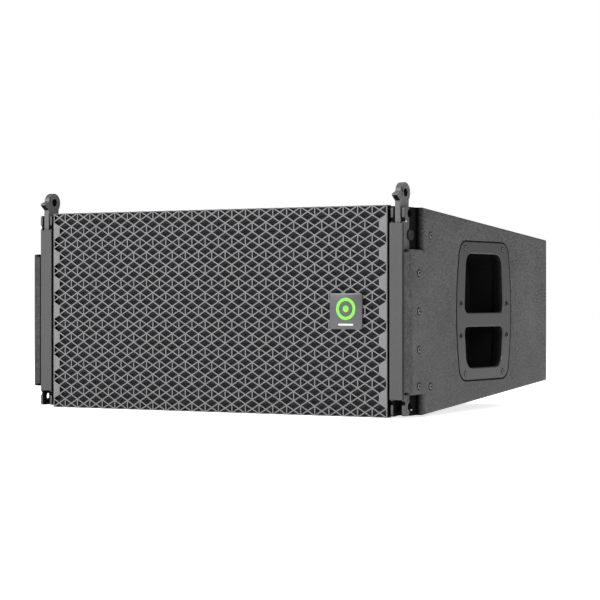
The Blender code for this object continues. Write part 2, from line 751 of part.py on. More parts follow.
def link_outline():
    """The link's side view; y and z from its pin hole."""
    front = LINK_FRONT - PIN_SETBACK
    back = LINK_BACK - PIN_SETBACK
    tail = GUIDE_Z - LINK_TAIL - LINK_PIN_Z
    tip = BEAK_TIP - PIN_SETBACK
    low = BEAK_LOW - LINK_RISE
    high = low + BEAK_TALL
    shoulder = -math.degrees(math.acos(back / LINK_HEAD_RADIUS))
    brow = 180 - math.degrees(math.asin(high / LINK_HEAD_RADIUS))
    neck = rounded([(front, low, 0), (front, tail, LINK_TAIL_ROUND), (back, tail, LINK_TAIL_ROUND)])
    head = arc((0, 0), LINK_HEAD_RADIUS, shoulder, brow, 18)
    tip_high = high - BEAK_SLOPE
    tip_low = tip_high - BEAK_TIP_TALL
    beak = [(tip + BEAK_TIP_ROUND, tip_high), (tip, tip_high - BEAK_TIP_ROUND),
            (tip, tip_low + BEAK_TIP_ROUND), (tip + BEAK_TIP_ROUND, tip_low)]
    return neck + head + beak


def make_front_link(name, frame, side):
    """The link slides down by one travel. Its upper hole takes the pin of the cabinet above."""
    axis = empty(f"{name}_slide", frame, (side * (SLOT_IN + SLOT_OUT) / 2, PIN_SETBACK, LINK_PIN_Z))
    half = LINK_THICK / 2
    link = piece(name, prism(link_outline(), "X", -half, half), "powder_coat", axis)
    join(link, pin_boss(side * half, side, 0, 0))
    slot = slot_outline(0, GUIDE_Z - LINK_PIN_Z - SEAT, LOCK_Z - LINK_PIN_Z + SEAT, PIN_BORE / 2)
    hole = circle((0, 0), PIN_BORE / 2)
    cut(link, prisms([slot, hole], "X", -half - OVERCUT, half + OVERCUT))


def make_guide_bolt(name, frame, side):
    """The shouldered bolt that the link's slot slides on."""
    shank = PIN_BORE / 2 - RUNNING
    inner = side * (RAIL_IN + SEAT)
    seat = side * (RAIL_OUT + SEAT)
    end = seat + side * BOLT_HEAD_THICK
    chamfer = BOLT_HEAD_CHAMFER
    profile = [(0, inner), (shank, inner), (shank, seat), (BOLT_HEAD_RADIUS, seat),
               (BOLT_HEAD_RADIUS, end - side * chamfer), (BOLT_HEAD_RADIUS - chamfer, end), (0, end)]
    piece(name, turned(profile, "X"), "black_oxide", frame, (0, PIN_SETBACK, GUIDE_Z))


def make_front_rigging(frame):
    for label, side in (("left", -1), ("right", 1)):
        make_rail(f"rail_channel_{label}", frame, side)
        make_rail_cover(f"rail_cover_{label}", frame, side)
        make_front_link(f"front_link_{label}", frame, side)
        make_guide_bolt(f"guide_bolt_{label}", frame, side)


# ---------------------------------------------------------------- rear rigging

def make_rear_bracket(frame, lock_y, lock_z):
    """A plate on the back panel with two ears, drilled for the pivot, the lock pin and the fork."""
    plate_front = DEPTH + SEAT
    plate_back = plate_front + BRACKET_PLATE
    half_width = BRACKET_WIDTH / 2
    half_height = BRACKET_HEIGHT / 2
    base = box_outline(-half_width, MID_Z - half_height, half_width, MID_Z + half_height, BRACKET_CORNER)
    bracket = piece("rear_bracket", prism(base, "Y", plate_front, plate_back), "powder_coat", frame)
    root = plate_back - CHAMFER
    tall = half_height - EAR_INSET
    ear = rounded([(root, MID_Z - tall, 0), (OVERALL_BACK, MID_Z - tall + EAR_LEAN, EAR_CORNER),
                   (OVERALL_BACK, MID_Z + tall - EAR_LEAN, EAR_CORNER), (root, MID_Z + tall, 0)])
    ears = bmesh.new()
    for side in (-1, 1):
        low, high = span(side, EAR_OUT - EAR_THICK, EAR_OUT)
        add_prism(ears, ear, "X", low, high)
    join(bracket, finish_normals(ears))

    fork_heights = [PIVOT_Z - REAR_LINK_LENGTH + rise for rise in REAR_FORK_RISES]
    for side in (-1, 1):
        join(bracket, pin_boss(side * EAR_OUT, side, PIVOT_Y, fork_heights[0], REAR_BOSS_RADIUS))
    holes = [circle((PIVOT_Y, PIVOT_Z), REAR_PIVOT_RADIUS + RUNNING, INNER_STEPS),
             circle((lock_y, lock_z), LOCK_PIN_RADIUS + RUNNING, INNER_STEPS)]
    for z in fork_heights:
        holes.append(circle((PIVOT_Y, z), LOCK_PIN_RADIUS + RUNNING, INNER_STEPS))
    cut(bracket, prisms(holes, "X", -EAR_OUT - OVERCUT, EAR_OUT + OVERCUT))


def make_rear_link(frame):
    """A drilled bar that hangs from the pivot, and its bolt. It turns up to the cabinet above."""
    axis = empty("rear_link_hinge", frame, (0, PIVOT_Y, PIVOT_Z))
    half = REAR_LINK_THICK / 2
    width = REAR_LINK_WIDTH / 2
    outline = arc((0, 0), width, 0, 180, 12) + arc((0, -REAR_LINK_LENGTH), width, 180, 360, 12)
    link = piece("rear_link", prism(outline, "X", -half, half), "powder_coat", axis)
    bores = [circle((0, 0), REAR_PIVOT_RADIUS + RUNNING, INNER_STEPS)]
    for number in range(REAR_LINK_HOLES):
        centre = (0, REAR_LINK_PITCH * number - REAR_LINK_LENGTH)
        bores.append(circle(centre, LOCK_PIN_RADIUS + RUNNING, INNER_STEPS))
    cut(link, prisms(bores, "X", -half - OVERCUT, half + OVERCUT))

    head = EAR_OUT + SEAT
    reach = head + PIVOT_CAP_TALL
    cap = PIVOT_CAP_RADIUS
    shank = REAR_PIVOT_RADIUS
    profile = [(0, -reach), (cap - CHAMFER, -reach), (cap, CHAMFER - reach), (cap, -head),
               (shank, -head), (shank, head),
               (cap, head), (cap, reach - CHAMFER), (cap - CHAMFER, reach), (0, reach)]
    piece("rear_pivot_bolt", turned(profile, "X"), "black_oxide", frame, (0, PIVOT_Y, PIVOT_Z))


def make_lock_pin(frame, lock_y, lock_z):
    """The pin that is pushed through both ears to hold the link. Its knob stands out to one side."""
    slide = empty("rear_lock_pin_slide", frame, (0, lock_y, lock_z))
    head = EAR_OUT + SEAT
    tip = EAR_OUT + LOCK_PIN_TIP
    knob = LOCK_PIN_RADIUS + KNOB_LIP
    end = head + KNOB_LENGTH
    profile = [(0, -tip), (LOCK_PIN_RADIUS - CHAMFER, -tip), (LOCK_PIN_RADIUS, CHAMFER - tip),
               (LOCK_PIN_RADIUS, head), (knob, head), (knob, end - CHAMFER), (knob - CHAMFER, end), (0, end)]
    piece("rear_lock_pin", turned(profile, "X"), "zinc_plate", slide)


def make_rear_rigging(frame):
    lock_y = DEPTH + SEAT + BRACKET_PLATE + LOCK_PIN_RADIUS + LOCK_PIN_STAND_OFF
    lock_z = MID_Z - LOCK_PIN_DROP
    make_rear_bracket(frame, lock_y, lock_z)
    make_rear_link(frame)
    make_lock_pin(frame, lock_y, lock_z)


# ---------------------------------------------------------------- grille

def make_grille(frame):
    """A folded sheet in front of a foam sheet, with a badge on it. The sheet is plain here."""
    sheet = GRILLE_SHEET

    def tray(inset, y_low, y_high):
        return [(y_low, bottom_z(y_low) + inset), (y_high, bottom_z(y_high) + inset),
                (y_high, top_z(y_high) - inset), (y_low, top_z(y_low) - inset)]

    outer = round_edges(prism(tray(0, 0, GRILLE_FLANGE), "X", -GRILLE_HALF, GRILLE_HALF), GRILLE_ROUND, 2,
                        lambda mid: mid.y < 1e-5)
    grille = piece("front_grille", outer, "powder_coat", frame)
    inner = GRILLE_HALF - sheet
    cut(grille, prism(tray(sheet, sheet, GRILLE_FLANGE + OVERCUT), "X", -inner, inner))

    clear = sheet + SEAT
    half = GRILLE_HALF - clear
    foam = prism(tray(clear, clear, clear + FOAM_THICK), "X", -half, half)
    piece("grille_foam", foam, "open_foam", frame)

    badge = box_outline(BADGE_X - BADGE_WIDTH / 2, MID_Z - BADGE_HEIGHT / 2,
                        BADGE_X + BADGE_WIDTH / 2, MID_Z + BADGE_HEIGHT / 2, BADGE_CORNER)
    piece("badge", prism(badge, "Y", -SEAT - BADGE_THICK, -SEAT), "badge_metal", frame)


# ---------------------------------------------------------------- loudspeakers

def make_basket(label, frame, at, lip):
    """The die-cast frame that holds the surround, the spider and the magnet."""
    wall = WOOFER_HOLE_RADIUS - CHAMFER
    rim = WOOFER_FLANGE
    neck = BASKET_NECK_RADIUS
    shelf = BASKET_DEPTH + BASKET_SHEET
    floor = BASKET_DEPTH + 2 * BASKET_SHEET
    hole = COIL_RADIUS + COIL_CLEAR
    profile = [(lip, 0), (WOOFER_FLANGE_RADIUS, 0), (WOOFER_FLANGE_RADIUS, rim),
               (wall, rim), (wall, BASKET_STEP), (neck + BASKET_SHEET, BASKET_DEPTH),
               (neck + BASKET_SHEET, floor), (hole, floor), (hole, shelf),
               (neck, shelf), (neck, BASKET_DEPTH), (lip, BASKET_STEP)]
    basket = piece(f"woofer_basket_{label}", turned(profile, "Y"), "cast_basket", frame, at)
    windows = bmesh.new()
    inner = neck - BASKET_WINDOW_ROOT
    half = BASKET_WINDOW_WIDTH / 2
    for number in range(BASKET_WINDOWS):
        turn = math.tau * number / BASKET_WINDOWS
        along = Vector((math.cos(turn), math.sin(turn)))
        across = Vector((-along.y, along.x))
        corners = [(inner, -half), (WOOFER_FLANGE_RADIUS, -half),
                   (WOOFER_FLANGE_RADIUS, half), (inner, half)]
        window = [tuple(along * u + across * v) for u, v in corners]
        add_prism(windows, window, "Y", 2 * BASKET_STEP, BASKET_DEPTH - BASKET_WINDOW_RIM)
    cut(basket, finish_normals(windows))


def make_magnet(label, frame, at):
    """The ferrite ring between its plates, with the narrow gap that the voice coil moves in."""
    front = MAGNET_FRONT - DRIVER_FACE
    back = front + MAGNET_THICK
    middle = COIL_RADIUS - COIL_WALL / 2
    inside = middle - MAGNET_GAP / 2
    outside = middle + MAGNET_GAP / 2
    plate = MAGNET_RADIUS - TOP_PLATE_SHOULDER
    gap_floor = front + MAGNET_GAP_DEPTH
    profile = [(0, front), (inside, front), (inside, gap_floor), (outside, gap_floor), (outside, front),
               (plate, front), (plate, front + TOP_PLATE_THICK), (MAGNET_RADIUS, front + TOP_PLATE_THICK),
               (MAGNET_RADIUS, back - TOP_PLATE_THICK), (plate, back - TOP_PLATE_THICK),
               (plate - 2 * CHAMFER, back), (0, back)]
    piece(f"woofer_magnet_{label}", turned(profile, "Y"), "ferrite", frame, at)


def make_surround(label, frame, at, lip, height):
    """The half-round rubber roll between the basket and the cone."""
    outer = lip - SEAT
    inner = CONE_RADIUS + SEAT
    crown = (outer + inner) / 2
    bow = (outer - inner) / 2
    roll = arc((0, 0), bow, 0, 180, 5) + arc((0, 0), bow - SURROUND_SHEET, 180, 0, 5)
    profile = [(crown + u, height - v) for u, v in roll]
    piece(f"woofer_surround_{label}", turned(profile, "Y"), "rubber", frame, at)


def make_spider(label, frame, at):
    """The pleated cloth ring that centres the voice coil."""
    tight = COIL_RADIUS + SPIDER_LAND
    wide = BASKET_NECK_RADIUS - SEAT
    height = BASKET_DEPTH - SPIDER_SET_BACK
    profile = [(tight, height)]
    for number in range(1, 4):
        profile.append((tight + (wide - tight) * number / 4, height - SPIDER_WAVE * (-1) ** number))
    profile.append((wide, height))
    profile += [(radius, y + SPIDER_SHEET) for radius, y in reversed(profile)]
    piece(f"woofer_spider_{label}", turned(profile, "Y"), "spider_cloth", frame, at)


def make_cone(label, frame, at, rim):
    """The paper cone with its dust cap, and the voice coil behind it. They move together."""
    axis = empty(f"woofer_stroke_{label}", frame, at)
    root = rim + CONE_DEPTH
    neck = COIL_RADIUS - COIL_WALL
    cap = COIL_RADIUS + DUST_CAP_LAP
    cap_y = rim + CONE_DEPTH * (CONE_RADIUS - cap) / (CONE_RADIUS - COIL_RADIUS)

    def dome(radius, rise, turns):
        return [(radius * math.sin(math.radians(turn)), cap_y - rise * math.cos(math.radians(turn)))
                for turn in turns]

    front = dome(cap, DUST_CAP_RISE, (0, 22, 45, 68, 90)) + [(CONE_RADIUS, rim)]
    back = [(CONE_RADIUS, rim + CONE_PAPER), (COIL_RADIUS, root), (neck, root)]
    hollow = dome(COIL_RADIUS, DUST_CAP_RISE - DUST_CAP_SHEET, (68, 45, 22, 0))
    piece(f"woofer_cone_{label}", turned(front + back + hollow, "Y"), "cone_paper", axis)

    coil = [(neck, root + SEAT), (COIL_RADIUS, root + SEAT),
            (COIL_RADIUS, root + COIL_LENGTH), (neck, root + COIL_LENGTH)]
    piece(f"voice_coil_{label}", turned(coil, "Y"), "copper", axis)


def make_woofer(label, frame, side):
    """An eight-inch woofer on the baffle. The cone and its voice coil move along the axis."""
    at = (side * WOOFER_X, DRIVER_FACE, MID_Z)
    lip = WOOFER_HOLE_RADIUS - 2 * BASKET_SHEET
    roll_height = BASKET_STEP - SURROUND_DROP
    make_basket(label, frame, at, lip)
    make_magnet(label, frame, at)
    make_surround(label, frame, at, lip, roll_height)
    make_spider(label, frame, at)
    make_cone(label, frame, at, roll_height + CONE_RIM_DROP)


def horn_section(grow, half_width, half_height, radius):
    wide = half_width + grow
    tall = half_height + grow
    return box_outline(-wide, -tall, wide, tall, radius + grow)


def make_high_frequency(frame):
    """A waveguide that narrows from the baffle to a round throat, and its compression driver."""
    at = (0, DRIVER_FACE, MID_Z)
    mouth = (HORN_WIDTH / 2 - HORN_MOUTH_RIM, HORN_HEIGHT / 2 - HORN_MOUTH_RIM, HORN_MOUTH_CORNER)
    waist = (THROAT_RADIUS * 1.5, HORN_HEIGHT / 4, HORN_WAIST_CORNER)
    throat = (THROAT_RADIUS, THROAT_RADIUS, THROAT_RADIUS * 0.98)
    waist_y = HORN_DEPTH * 0.6
    plate = prism(box_outline(-HORN_WIDTH / 2, -HORN_HEIGHT / 2, HORN_WIDTH / 2, HORN_HEIGHT / 2,
                              HORN_PLATE_CORNER), "Y", 0, WOOFER_FLANGE)
    horn = piece("hf_waveguide", plate, "horn_plastic", frame, at)
    wall = HORN_WALL
    join(horn, loft([(WOOFER_FLANGE / 2, horn_section(wall, *mouth)),
                     (BAFFLE_PLY + HORN_STEP, horn_section(wall, *mouth)),
                     (waist_y, horn_section(wall, *waist)),
                     (HORN_DEPTH, horn_section(wall, *throat))], "Y"))
    cut(horn, loft([(-WOOFER_FLANGE, horn_section(0, *mouth)), (WOOFER_FLANGE, horn_section(0, *mouth)),
                    (waist_y, horn_section(0, *waist)),
                    (HORN_DEPTH + WOOFER_FLANGE, horn_section(0, *throat))], "Y"))

    start = HORN_DEPTH + SEAT
    end = start + DRIVER_LENGTH
    front_edge = DRIVER_RADIUS - DRIVER_SHOULDER
    cap_edge = DRIVER_RADIUS - DRIVER_CAP_STEP
    ring_back = start + DRIVER_RING_BACK
    throat_floor = start + DRIVER_THROAT_DEPTH
    profile = [(0, throat_floor), (THROAT_RADIUS, throat_floor), (THROAT_RADIUS, start), (front_edge, start),
               (front_edge, start + DRIVER_PLATE), (DRIVER_RADIUS, start + DRIVER_PLATE),
               (DRIVER_RADIUS, ring_back), (cap_edge, ring_back), (cap_edge, end - DRIVER_CAP_CHAMFER),
               (cap_edge - DRIVER_CAP_CHAMFER, end), (0, end)]
    piece("hf_driver", turned(profile, "Y", ROUND_STEPS), "ferrite", frame, at)


# ---------------------------------------------------------------- electrics

def socket_places():
    return PLATE_X - SOCKET_SPACING / 2, PLATE_X + SOCKET_SPACING / 2


def make_input_plate(frame):
    """The input plate, let in flush, with its two sockets."""
    half_width = PLATE_WIDTH / 2
    half_height = PLATE_HEIGHT / 2
    outline = box_outline(PLATE_X - half_width, MID_Z - half_height,
                          PLATE_X + half_width, MID_Z + half_height, PLATE_CORNER)
    plate = piece("input_plate", prism(outline, "Y", DEPTH - PLATE_THICK, DEPTH), "powder_coat", frame)
    holes = [circle((x, MID_Z), SOCKET_RADIUS + SOCKET_CLEAR, INNER_STEPS) for x in socket_places()]
    cut(plate, prisms(holes, "Y", DEPTH - OVERCUT, DEPTH + OVERCUT))

    half = SOCKET_FLANGE / 2
    front = SEAT + SOCKET_FLANGE_THICK
    for name, x in zip(("connector_link", "connector_in"), socket_places()):
        flange = prism(box_outline(-half, -half, half, half, SOCKET_FLANGE_CORNER), "Y", SEAT, front)
        socket = piece(name, flange, "socket_plastic", frame, (x, DEPTH, MID_Z))
        barrel = circle((0, 0), SOCKET_RADIUS, INNER_STEPS)
        join(socket, prism(barrel, "Y", -SOCKET_DEPTH - SOCKET_FLOOR, front - SOCKET_WALL))
        cup = circle((0, 0), SOCKET_RADIUS - SOCKET_WALL, INNER_STEPS)
        cut(socket, prism(cup, "Y", -SOCKET_DEPTH, OVERCUT))


def make_crossover(frame):
    """The crossover board behind the back panel, with its coils and capacitors."""
    back = BACK_INNER - SEAT
    front = back - BOARD_THICK
    half_width = BOARD_WIDTH / 2
    half_height = BOARD_HEIGHT / 2
    board = box_outline(BOARD_X - half_width, MID_Z - half_height, BOARD_X + half_width, MID_Z + half_height)
    piece("crossover_board", prism(board, "Y", front, back), "board_green", frame)
    top = front - SEAT
    for name, x, z, outer, inner, tall in COILS:
        ring = [(inner, 0), (outer, 0), (outer, -tall), (inner, -tall)]
        piece(name, turned(ring, "Y"), "copper", frame, (BOARD_X + x, top, MID_Z + z))
    for name, z, radius in CAPACITORS:
        can = [(0, 0), (radius - CHAMFER, 0), (radius, CHAMFER), (radius, CAPACITOR_LENGTH - CHAMFER),
               (radius - CHAMFER, CAPACITOR_LENGTH), (0, CAPACITOR_LENGTH)]
        piece(name, turned(can, "X"), "capacitor_film", frame,
              (BOARD_X + CAPACITOR_X, top - radius, MID_Z + z))


# ---------------------------------------------------------------- the whole speaker

def main():
    for old in list(bpy.data.objects):
        bpy.data.objects.remove(old, do_unlink=True)
    frame = empty("cabinet_frame", None, (0, -FOOTPRINT_MIDDLE, 0))
    make_cabinet(frame)
    make_front_rigging(frame)
    make_rear_rigging(frame)
    make_grille(frame)
    for label, side in (("left", -1), ("right", 1)):
        make_woofer(label, frame, side)
    make_high_frequency(frame)
    make_input_plate(frame)
    make_crossover(frame)


main()
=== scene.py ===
# %% [markdown]
# # A line array speaker, finished
# The working model already holds every part at its true size and place, so it is loaded as a fixed
# frame. This lesson gives that frame its looks: a perforated front, painted plywood, rigging steel,
# moulded handles and the small hardware. Each new piece rides on one of the frame's bodies.

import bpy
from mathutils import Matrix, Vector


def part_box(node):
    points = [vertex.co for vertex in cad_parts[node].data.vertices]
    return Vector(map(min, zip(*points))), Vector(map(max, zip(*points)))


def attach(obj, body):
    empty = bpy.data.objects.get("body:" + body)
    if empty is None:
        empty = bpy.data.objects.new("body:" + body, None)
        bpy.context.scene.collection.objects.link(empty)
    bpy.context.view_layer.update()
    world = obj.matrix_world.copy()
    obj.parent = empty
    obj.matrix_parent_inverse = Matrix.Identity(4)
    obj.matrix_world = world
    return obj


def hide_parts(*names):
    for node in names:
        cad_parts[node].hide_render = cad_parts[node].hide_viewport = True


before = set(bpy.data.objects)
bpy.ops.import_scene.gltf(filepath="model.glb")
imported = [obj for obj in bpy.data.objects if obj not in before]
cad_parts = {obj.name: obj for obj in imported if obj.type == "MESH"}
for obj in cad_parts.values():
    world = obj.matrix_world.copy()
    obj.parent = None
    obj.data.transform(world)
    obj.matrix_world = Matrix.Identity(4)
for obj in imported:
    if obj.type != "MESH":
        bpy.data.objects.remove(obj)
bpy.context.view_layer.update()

# %% [markdown]
# ## Measures
# Everything is worked out from a few places on the frame. The rail covers' front face is the plane
# that a rigger lays a straight edge on, so depth is measured back from it. Millimetres are how such
# a cabinet is drawn, and one constant turns them into Blender's metres.

# %% Measures
import math

import bmesh
import bpy
from mathutils import Matrix, Vector

MM = 0.001
HANDS = (("left", -1), ("right", 1))
front_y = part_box("rail_cover_right")[0].y
side_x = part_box("side_panel_right")[1].x
middle_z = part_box("front_grille")[0].z / 2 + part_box("front_grille")[1].z / 2


def at(x, depth, z):
    """A point from millimetres: across, back from the covers' front face, and up."""
    return Vector((x * MM, front_y + depth * MM, z * MM))


def read_off(point):
    """The same measures read off a point: across from the middle, back, and up."""
    return abs(point.x) / MM, (point.y - front_y) / MM, point.z / MM


print("front plane", round(front_y, 5), "side face", round(side_x, 4), "middle", round(middle_z, 4))

# %% [markdown]
# ## Camera and light
# A long lens from a few metres away keeps the cabinet's upright edges upright. The camera is level,
# a little above the cabinet's middle, and it looks at the front and the right side together. The
# studio is a pale floor under a white sky, with one large soft light in front and to the left.

# %% Camera
CAMERA_TURN = math.radians(31.3)
scene = bpy.context.scene
scene.view_settings.view_transform = "Standard"
camera = bpy.data.objects.new("camera", bpy.data.cameras.new("camera"))
camera.data.lens = 126.8
camera.location = at(1734, -2601, 166)
camera.rotation_euler = (math.radians(90), 0, CAMERA_TURN)
scene.collection.objects.link(camera)
scene.camera = camera
print("camera at", [round(v, 3) for v in camera.location])

# %% Light
world = bpy.data.worlds.new("studio_sky")
scene.world = world
world.use_nodes = True
sky = world.node_tree.nodes["Background"]
sky.inputs["Color"].default_value = (1, 1, 1, 1)
# The backdrop is seen as plain white, and lights the cabinet with a part of that.
seen = world.node_tree.nodes.new("ShaderNodeLightPath")
amount = world.node_tree.nodes.new("ShaderNodeMapRange")
amount.inputs["To Min"].default_value = 0.32
world.node_tree.links.new(seen.outputs["Is Camera Ray"], amount.inputs["Value"])
world.node_tree.links.new(amount.outputs["Result"], sky.inputs["Strength"])


def soft_light(name, place, size, watts):
    """A square area light at a place, turned to face the cabinet's middle."""
    lamp = bpy.data.lights.new(name, "AREA")
    lamp.size = size
    lamp.energy = watts
    holder = bpy.data.objects.new(name, lamp)
    holder.location = place
    aim = Vector((0, 0, middle_z)) - holder.location
    holder.rotation_euler = aim.to_track_quat("-Z", "Y").to_euler()
    scene.collection.objects.link(holder)
    return holder


soft_light("key_light", (-1.9, -3.0, 1.9), 1.0, 100)
soft_light("side_light", (3.4, -1.2, 1.9), 1.2, 70)
soft_light("top_light", (0.3, 0.4, 2.8), 1.4, 45)

# %% [markdown]
# ## Finishes
# A finish is a small tree of nodes around one Principled shader. The colours are picked as the sRGB
# hex values that a screen shows, and Blender works in linear light, so one function turns them. One
# more function adds a node, sets it and links it. Most finishes here are a base coat with a fine
# grain: noise of a real size mixes two close colours, varies the gloss and lifts the surface.


# %% Colour and node helpers
def linear(hex_colour):
    """An sRGB hex value as linear red, green, blue and full alpha."""
    channels = [int(hex_colour[i : i + 2], 16) / 255 for i in (0, 2, 4)]
    turned = [c / 12.92 if c <= 0.04045 else ((c + 0.055) / 1.055) ** 2.4 for c in channels]
    return (*turned, 1)


def add(tree, kind, inputs=None, **settings):
    """Adds a shader node. inputs maps a socket to a value, or to another node's output."""
    node = tree.nodes.new("ShaderNode" + kind)
    for name, value in settings.items():
        setattr(node, name, value)
    for socket, value in (inputs or {}).items():
        if isinstance(value, bpy.types.NodeSocket):
            tree.links.new(value, node.inputs[socket])
        else:
            node.inputs[socket].default_value = value
    return node


def per(size_mm):
    """The pattern scale that gives features of size_mm on Object coordinates, in metres."""
    return 1000 / size_mm


finishes = {}


def start_finish(name, slot, **sockets):
    """A new material with its Principled shader's constants set, kept under its slot's name.
    A low Specular_IOR_Level is for surfaces that trap light: sockets, foam and stained wood."""
    material = bpy.data.materials.new(name)
    material.use_nodes = True
    tree = material.node_tree
    shader = tree.nodes["Principled BSDF"]
    for socket, value in sockets.items():
        shader.inputs[socket.replace("_", " ")].default_value = value
    place = add(tree, "TexCoord").outputs["Object"]
    finishes[slot] = material
    return tree, shader, place


def grained_finish(name, slot, dark, light, grain_mm, lift_mm, gloss, **sockets):
    """A coat of two close colours with a grain of one real size. gloss is the roughness range."""
    tree, shader, place = start_finish(name, slot, **sockets)
    grain = add(tree, "TexNoise", {"Vector": place, "Scale": per(grain_mm), "Detail": 3.0})
    cloud = add(tree, "TexNoise", {"Vector": place, "Scale": per(60), "Detail": 2.0})
    patches = add(tree, "Math", {0: cloud.outputs["Fac"], 1: 0.25}, operation="MULTIPLY")
    share = add(tree, "Math", {0: grain.outputs["Fac"], 1: patches.outputs[0]}, operation="ADD")
    mix = add(tree, "MapRange", {"Value": share.outputs[0], "From Min": 0.45, "From Max": 0.8})
    colour = add(
        tree,
        "Mix",
        {0: mix.outputs["Result"], 6: linear(dark), 7: linear(light)},
        data_type="RGBA",
    )
    rough = add(
        tree,
        "MapRange",
        {
            "Value": grain.outputs["Fac"],
            "From Min": 0.3,
            "From Max": 0.7,
            "To Min": gloss[0],
            "To Max": gloss[1],
        },
    )
    lift = add(
        tree,
        "Bump",
        {"Height": grain.outputs["Fac"], "Strength": 1.0, "Distance": lift_mm * MM},
    )
    tree.links.new(colour.outputs[2], shader.inputs["Base Color"])
    tree.links.new(rough.outputs["Result"], shader.inputs["Roughness"])
    tree.links.new(lift.outputs["Normal"], shader.inputs["Normal"])
    return tree, shader, place


def paint_in_shade(tree, shader, unshaded, shade_colour):
    """Paints shade in: fades a finish's colour and shine to a dark shade colour where the share left
    unshaded falls to nought.
    """
    coat = shader.inputs["Base Color"].links[0].from_socket
    mix = {0: unshaded, 6: linear(shade_colour), 7: coat}
    faded = add(tree, "Mix", mix, data_type="RGBA")
    shine = add(tree, "Math", {0: unshaded, 1: 0.5}, operation="MULTIPLY")
    tree.links.new(faded.outputs[2], shader.inputs["Base Color"])
    tree.links.new(shine.outputs[0], shader.inputs["Specular IOR Level"])


def outwards(tree, place):
    """The distance from the cabinet's middle plane, for painted shade that deepens inwards."""
    across = add(tree, "SeparateXYZ", {"Vector": place}).outputs["X"]
    return add(tree, "Math", {0: across}, operation="ABSOLUTE").outputs[0]


print("helpers ready; mid grey is", [round(c, 3) for c in linear("808080")])

# %% [markdown]
# ### Cabinet coat
# Touring cabinets are sprayed with textured polyurea, a tough two-part coat that dries in small
# pebbles. It is black, but the pebbles scatter light, so it looks dark grey. A grain a little over
# two millimetres across with a shallow lift gives that without any drawn texture.

# %% Cabinet coat and bare plywood
for coat, slot in (("sprayed_polyurea", "textured_paint"), ("sprayed_sides_shade_painted", "side_paint")):
    tree, shader, place = grained_finish(
        coat,
        slot,
        "1F1F20",
        "454546",
        grain_mm=2.8,
        lift_mm=1.3,
        gloss=(0.55, 0.75),
        IOR=1.5,
    )
# The sides have notches beside the rails. Their shoulders are darker than the panel's face, and
# the rounded front edge between them a little darker: this is painted shade, with the coat faded to
# near black there.
reach = {"Value": outwards(tree, place)}
reach.update({"From Min": side_x - 10 * MM, "From Max": side_x - 0.4 * MM})
axes = add(tree, "SeparateXYZ", {"Vector": place}).outputs
depth = {"Value": axes["Y"]}
depth.update({"From Min": front_y + 44 * MM, "From Max": front_y + 50 * MM})
shoulder = add(tree, "MapRange", reach).outputs["Result"]
behind = add(tree, "MapRange", depth).outputs["Result"]
NOTCHES = (36, 233)
over = add(tree, "Math", {0: axes["Z"], 1: NOTCHES[0] * MM}, operation="GREATER_THAN")
under = add(tree, "Math", {0: axes["Z"], 1: NOTCHES[1] * MM}, operation="LESS_THAN")
front = add(tree, "Math", {0: over.outputs[0], 1: under.outputs[0]}, operation="MULTIPLY")
front = add(tree, "Math", {0: front.outputs[0], 1: 0.8}, operation="MULTIPLY")
unshaded = add(tree, "Math", {0: shoulder, 1: behind}, operation="MAXIMUM")
unshaded = add(tree, "Math", {0: unshaded.outputs[0], 1: front.outputs[0]}, operation="MAXIMUM")
paint_in_shade(tree, shader, unshaded.outputs[0], "0A0A0B")

tree, shader, place = start_finish("birch_plywood", "raw_plywood", Roughness=0.62, IOR=1.46)
# Rotary-cut birch has a long, faint figure, so the noise is stretched along the sheet.
stretch = add(tree, "Mapping", {"Vector": place, "Scale": (per(90), per(90), per(6))})
figure = add(tree, "TexNoise", {"Vector": stretch.outputs[0], "Scale": 1.0, "Detail": 5.0})
wood = add(
    tree,
    "Mix",
    {0: figure.outputs["Fac"], 6: linear("B08D5F"), 7: linear("D9BE93")},
    data_type="RGBA",
)
pores = add(tree, "Bump", {"Height": figure.outputs["Fac"], "Distance": 0.1 * MM})
tree.links.new(wood.outputs[2], shader.inputs["Base Color"])
tree.links.new(pores.outputs["Normal"], shader.inputs["Normal"])
print("finishes so far:", sorted(finishes))

# %% [markdown]
# ### Coated and plain metals
# The grille and the rail covers are powder coated: a plastic powder melts on the steel and leaves a
# faint orange peel. The links are phosphated steel, a matt grey conversion coat that keeps oil on
# sliding faces. Bolts are bright zinc, and small socket screws are black oxide.

# %% Metal finishes
grained_finish(
    "powder_coated_grille_steel",
    "powder_coat",
    "676768",
    "757576",
    grain_mm=1.2,
    lift_mm=0.04,
    gloss=(0.38, 0.5),
    IOR=1.5,
)
grained_finish(
    "powder_coated_rail_steel",
    "rail_coat",
    "3A3A3B",
    "434344",
    grain_mm=1.2,
    lift_mm=0.04,
    gloss=(0.42, 0.55),
    IOR=1.5,
)
grained_finish(
    "phosphated_steel",
    "link_steel",
    "545455",
    "6C6C6D",
    grain_mm=0.9,
    lift_mm=0.03,
    gloss=(0.42, 0.6),
    Metallic=0.6,
)
grained_finish(
    "black_oxide_steel",
    "black_oxide",
    "08080A",
    "121214",
    grain_mm=0.8,
    lift_mm=0.02,
    gloss=(0.3, 0.45),
    Metallic=0.4,
)
grained_finish(
    "bright_zinc_plate",
    "zinc_plate",
    "9A9C9E",
    "B9BABB",
    grain_mm=1.0,
    lift_mm=0.01,
    gloss=(0.22, 0.38),
    Metallic=1.0,
)
grained_finish(
    "sand_cast_aluminium",
    "cast_basket",
    "3B3C3E",
    "505153",
    grain_mm=1.5,
    lift_mm=0.12,
    gloss=(0.45, 0.65),
    Metallic=0.5,
)
grained_finish(
    "ground_ferrite",
    "ferrite",
    "232326",
    "313135",
    grain_mm=0.7,
    lift_mm=0.03,
    gloss=(0.5, 0.7),
)
print("metals ready:", len(finishes))

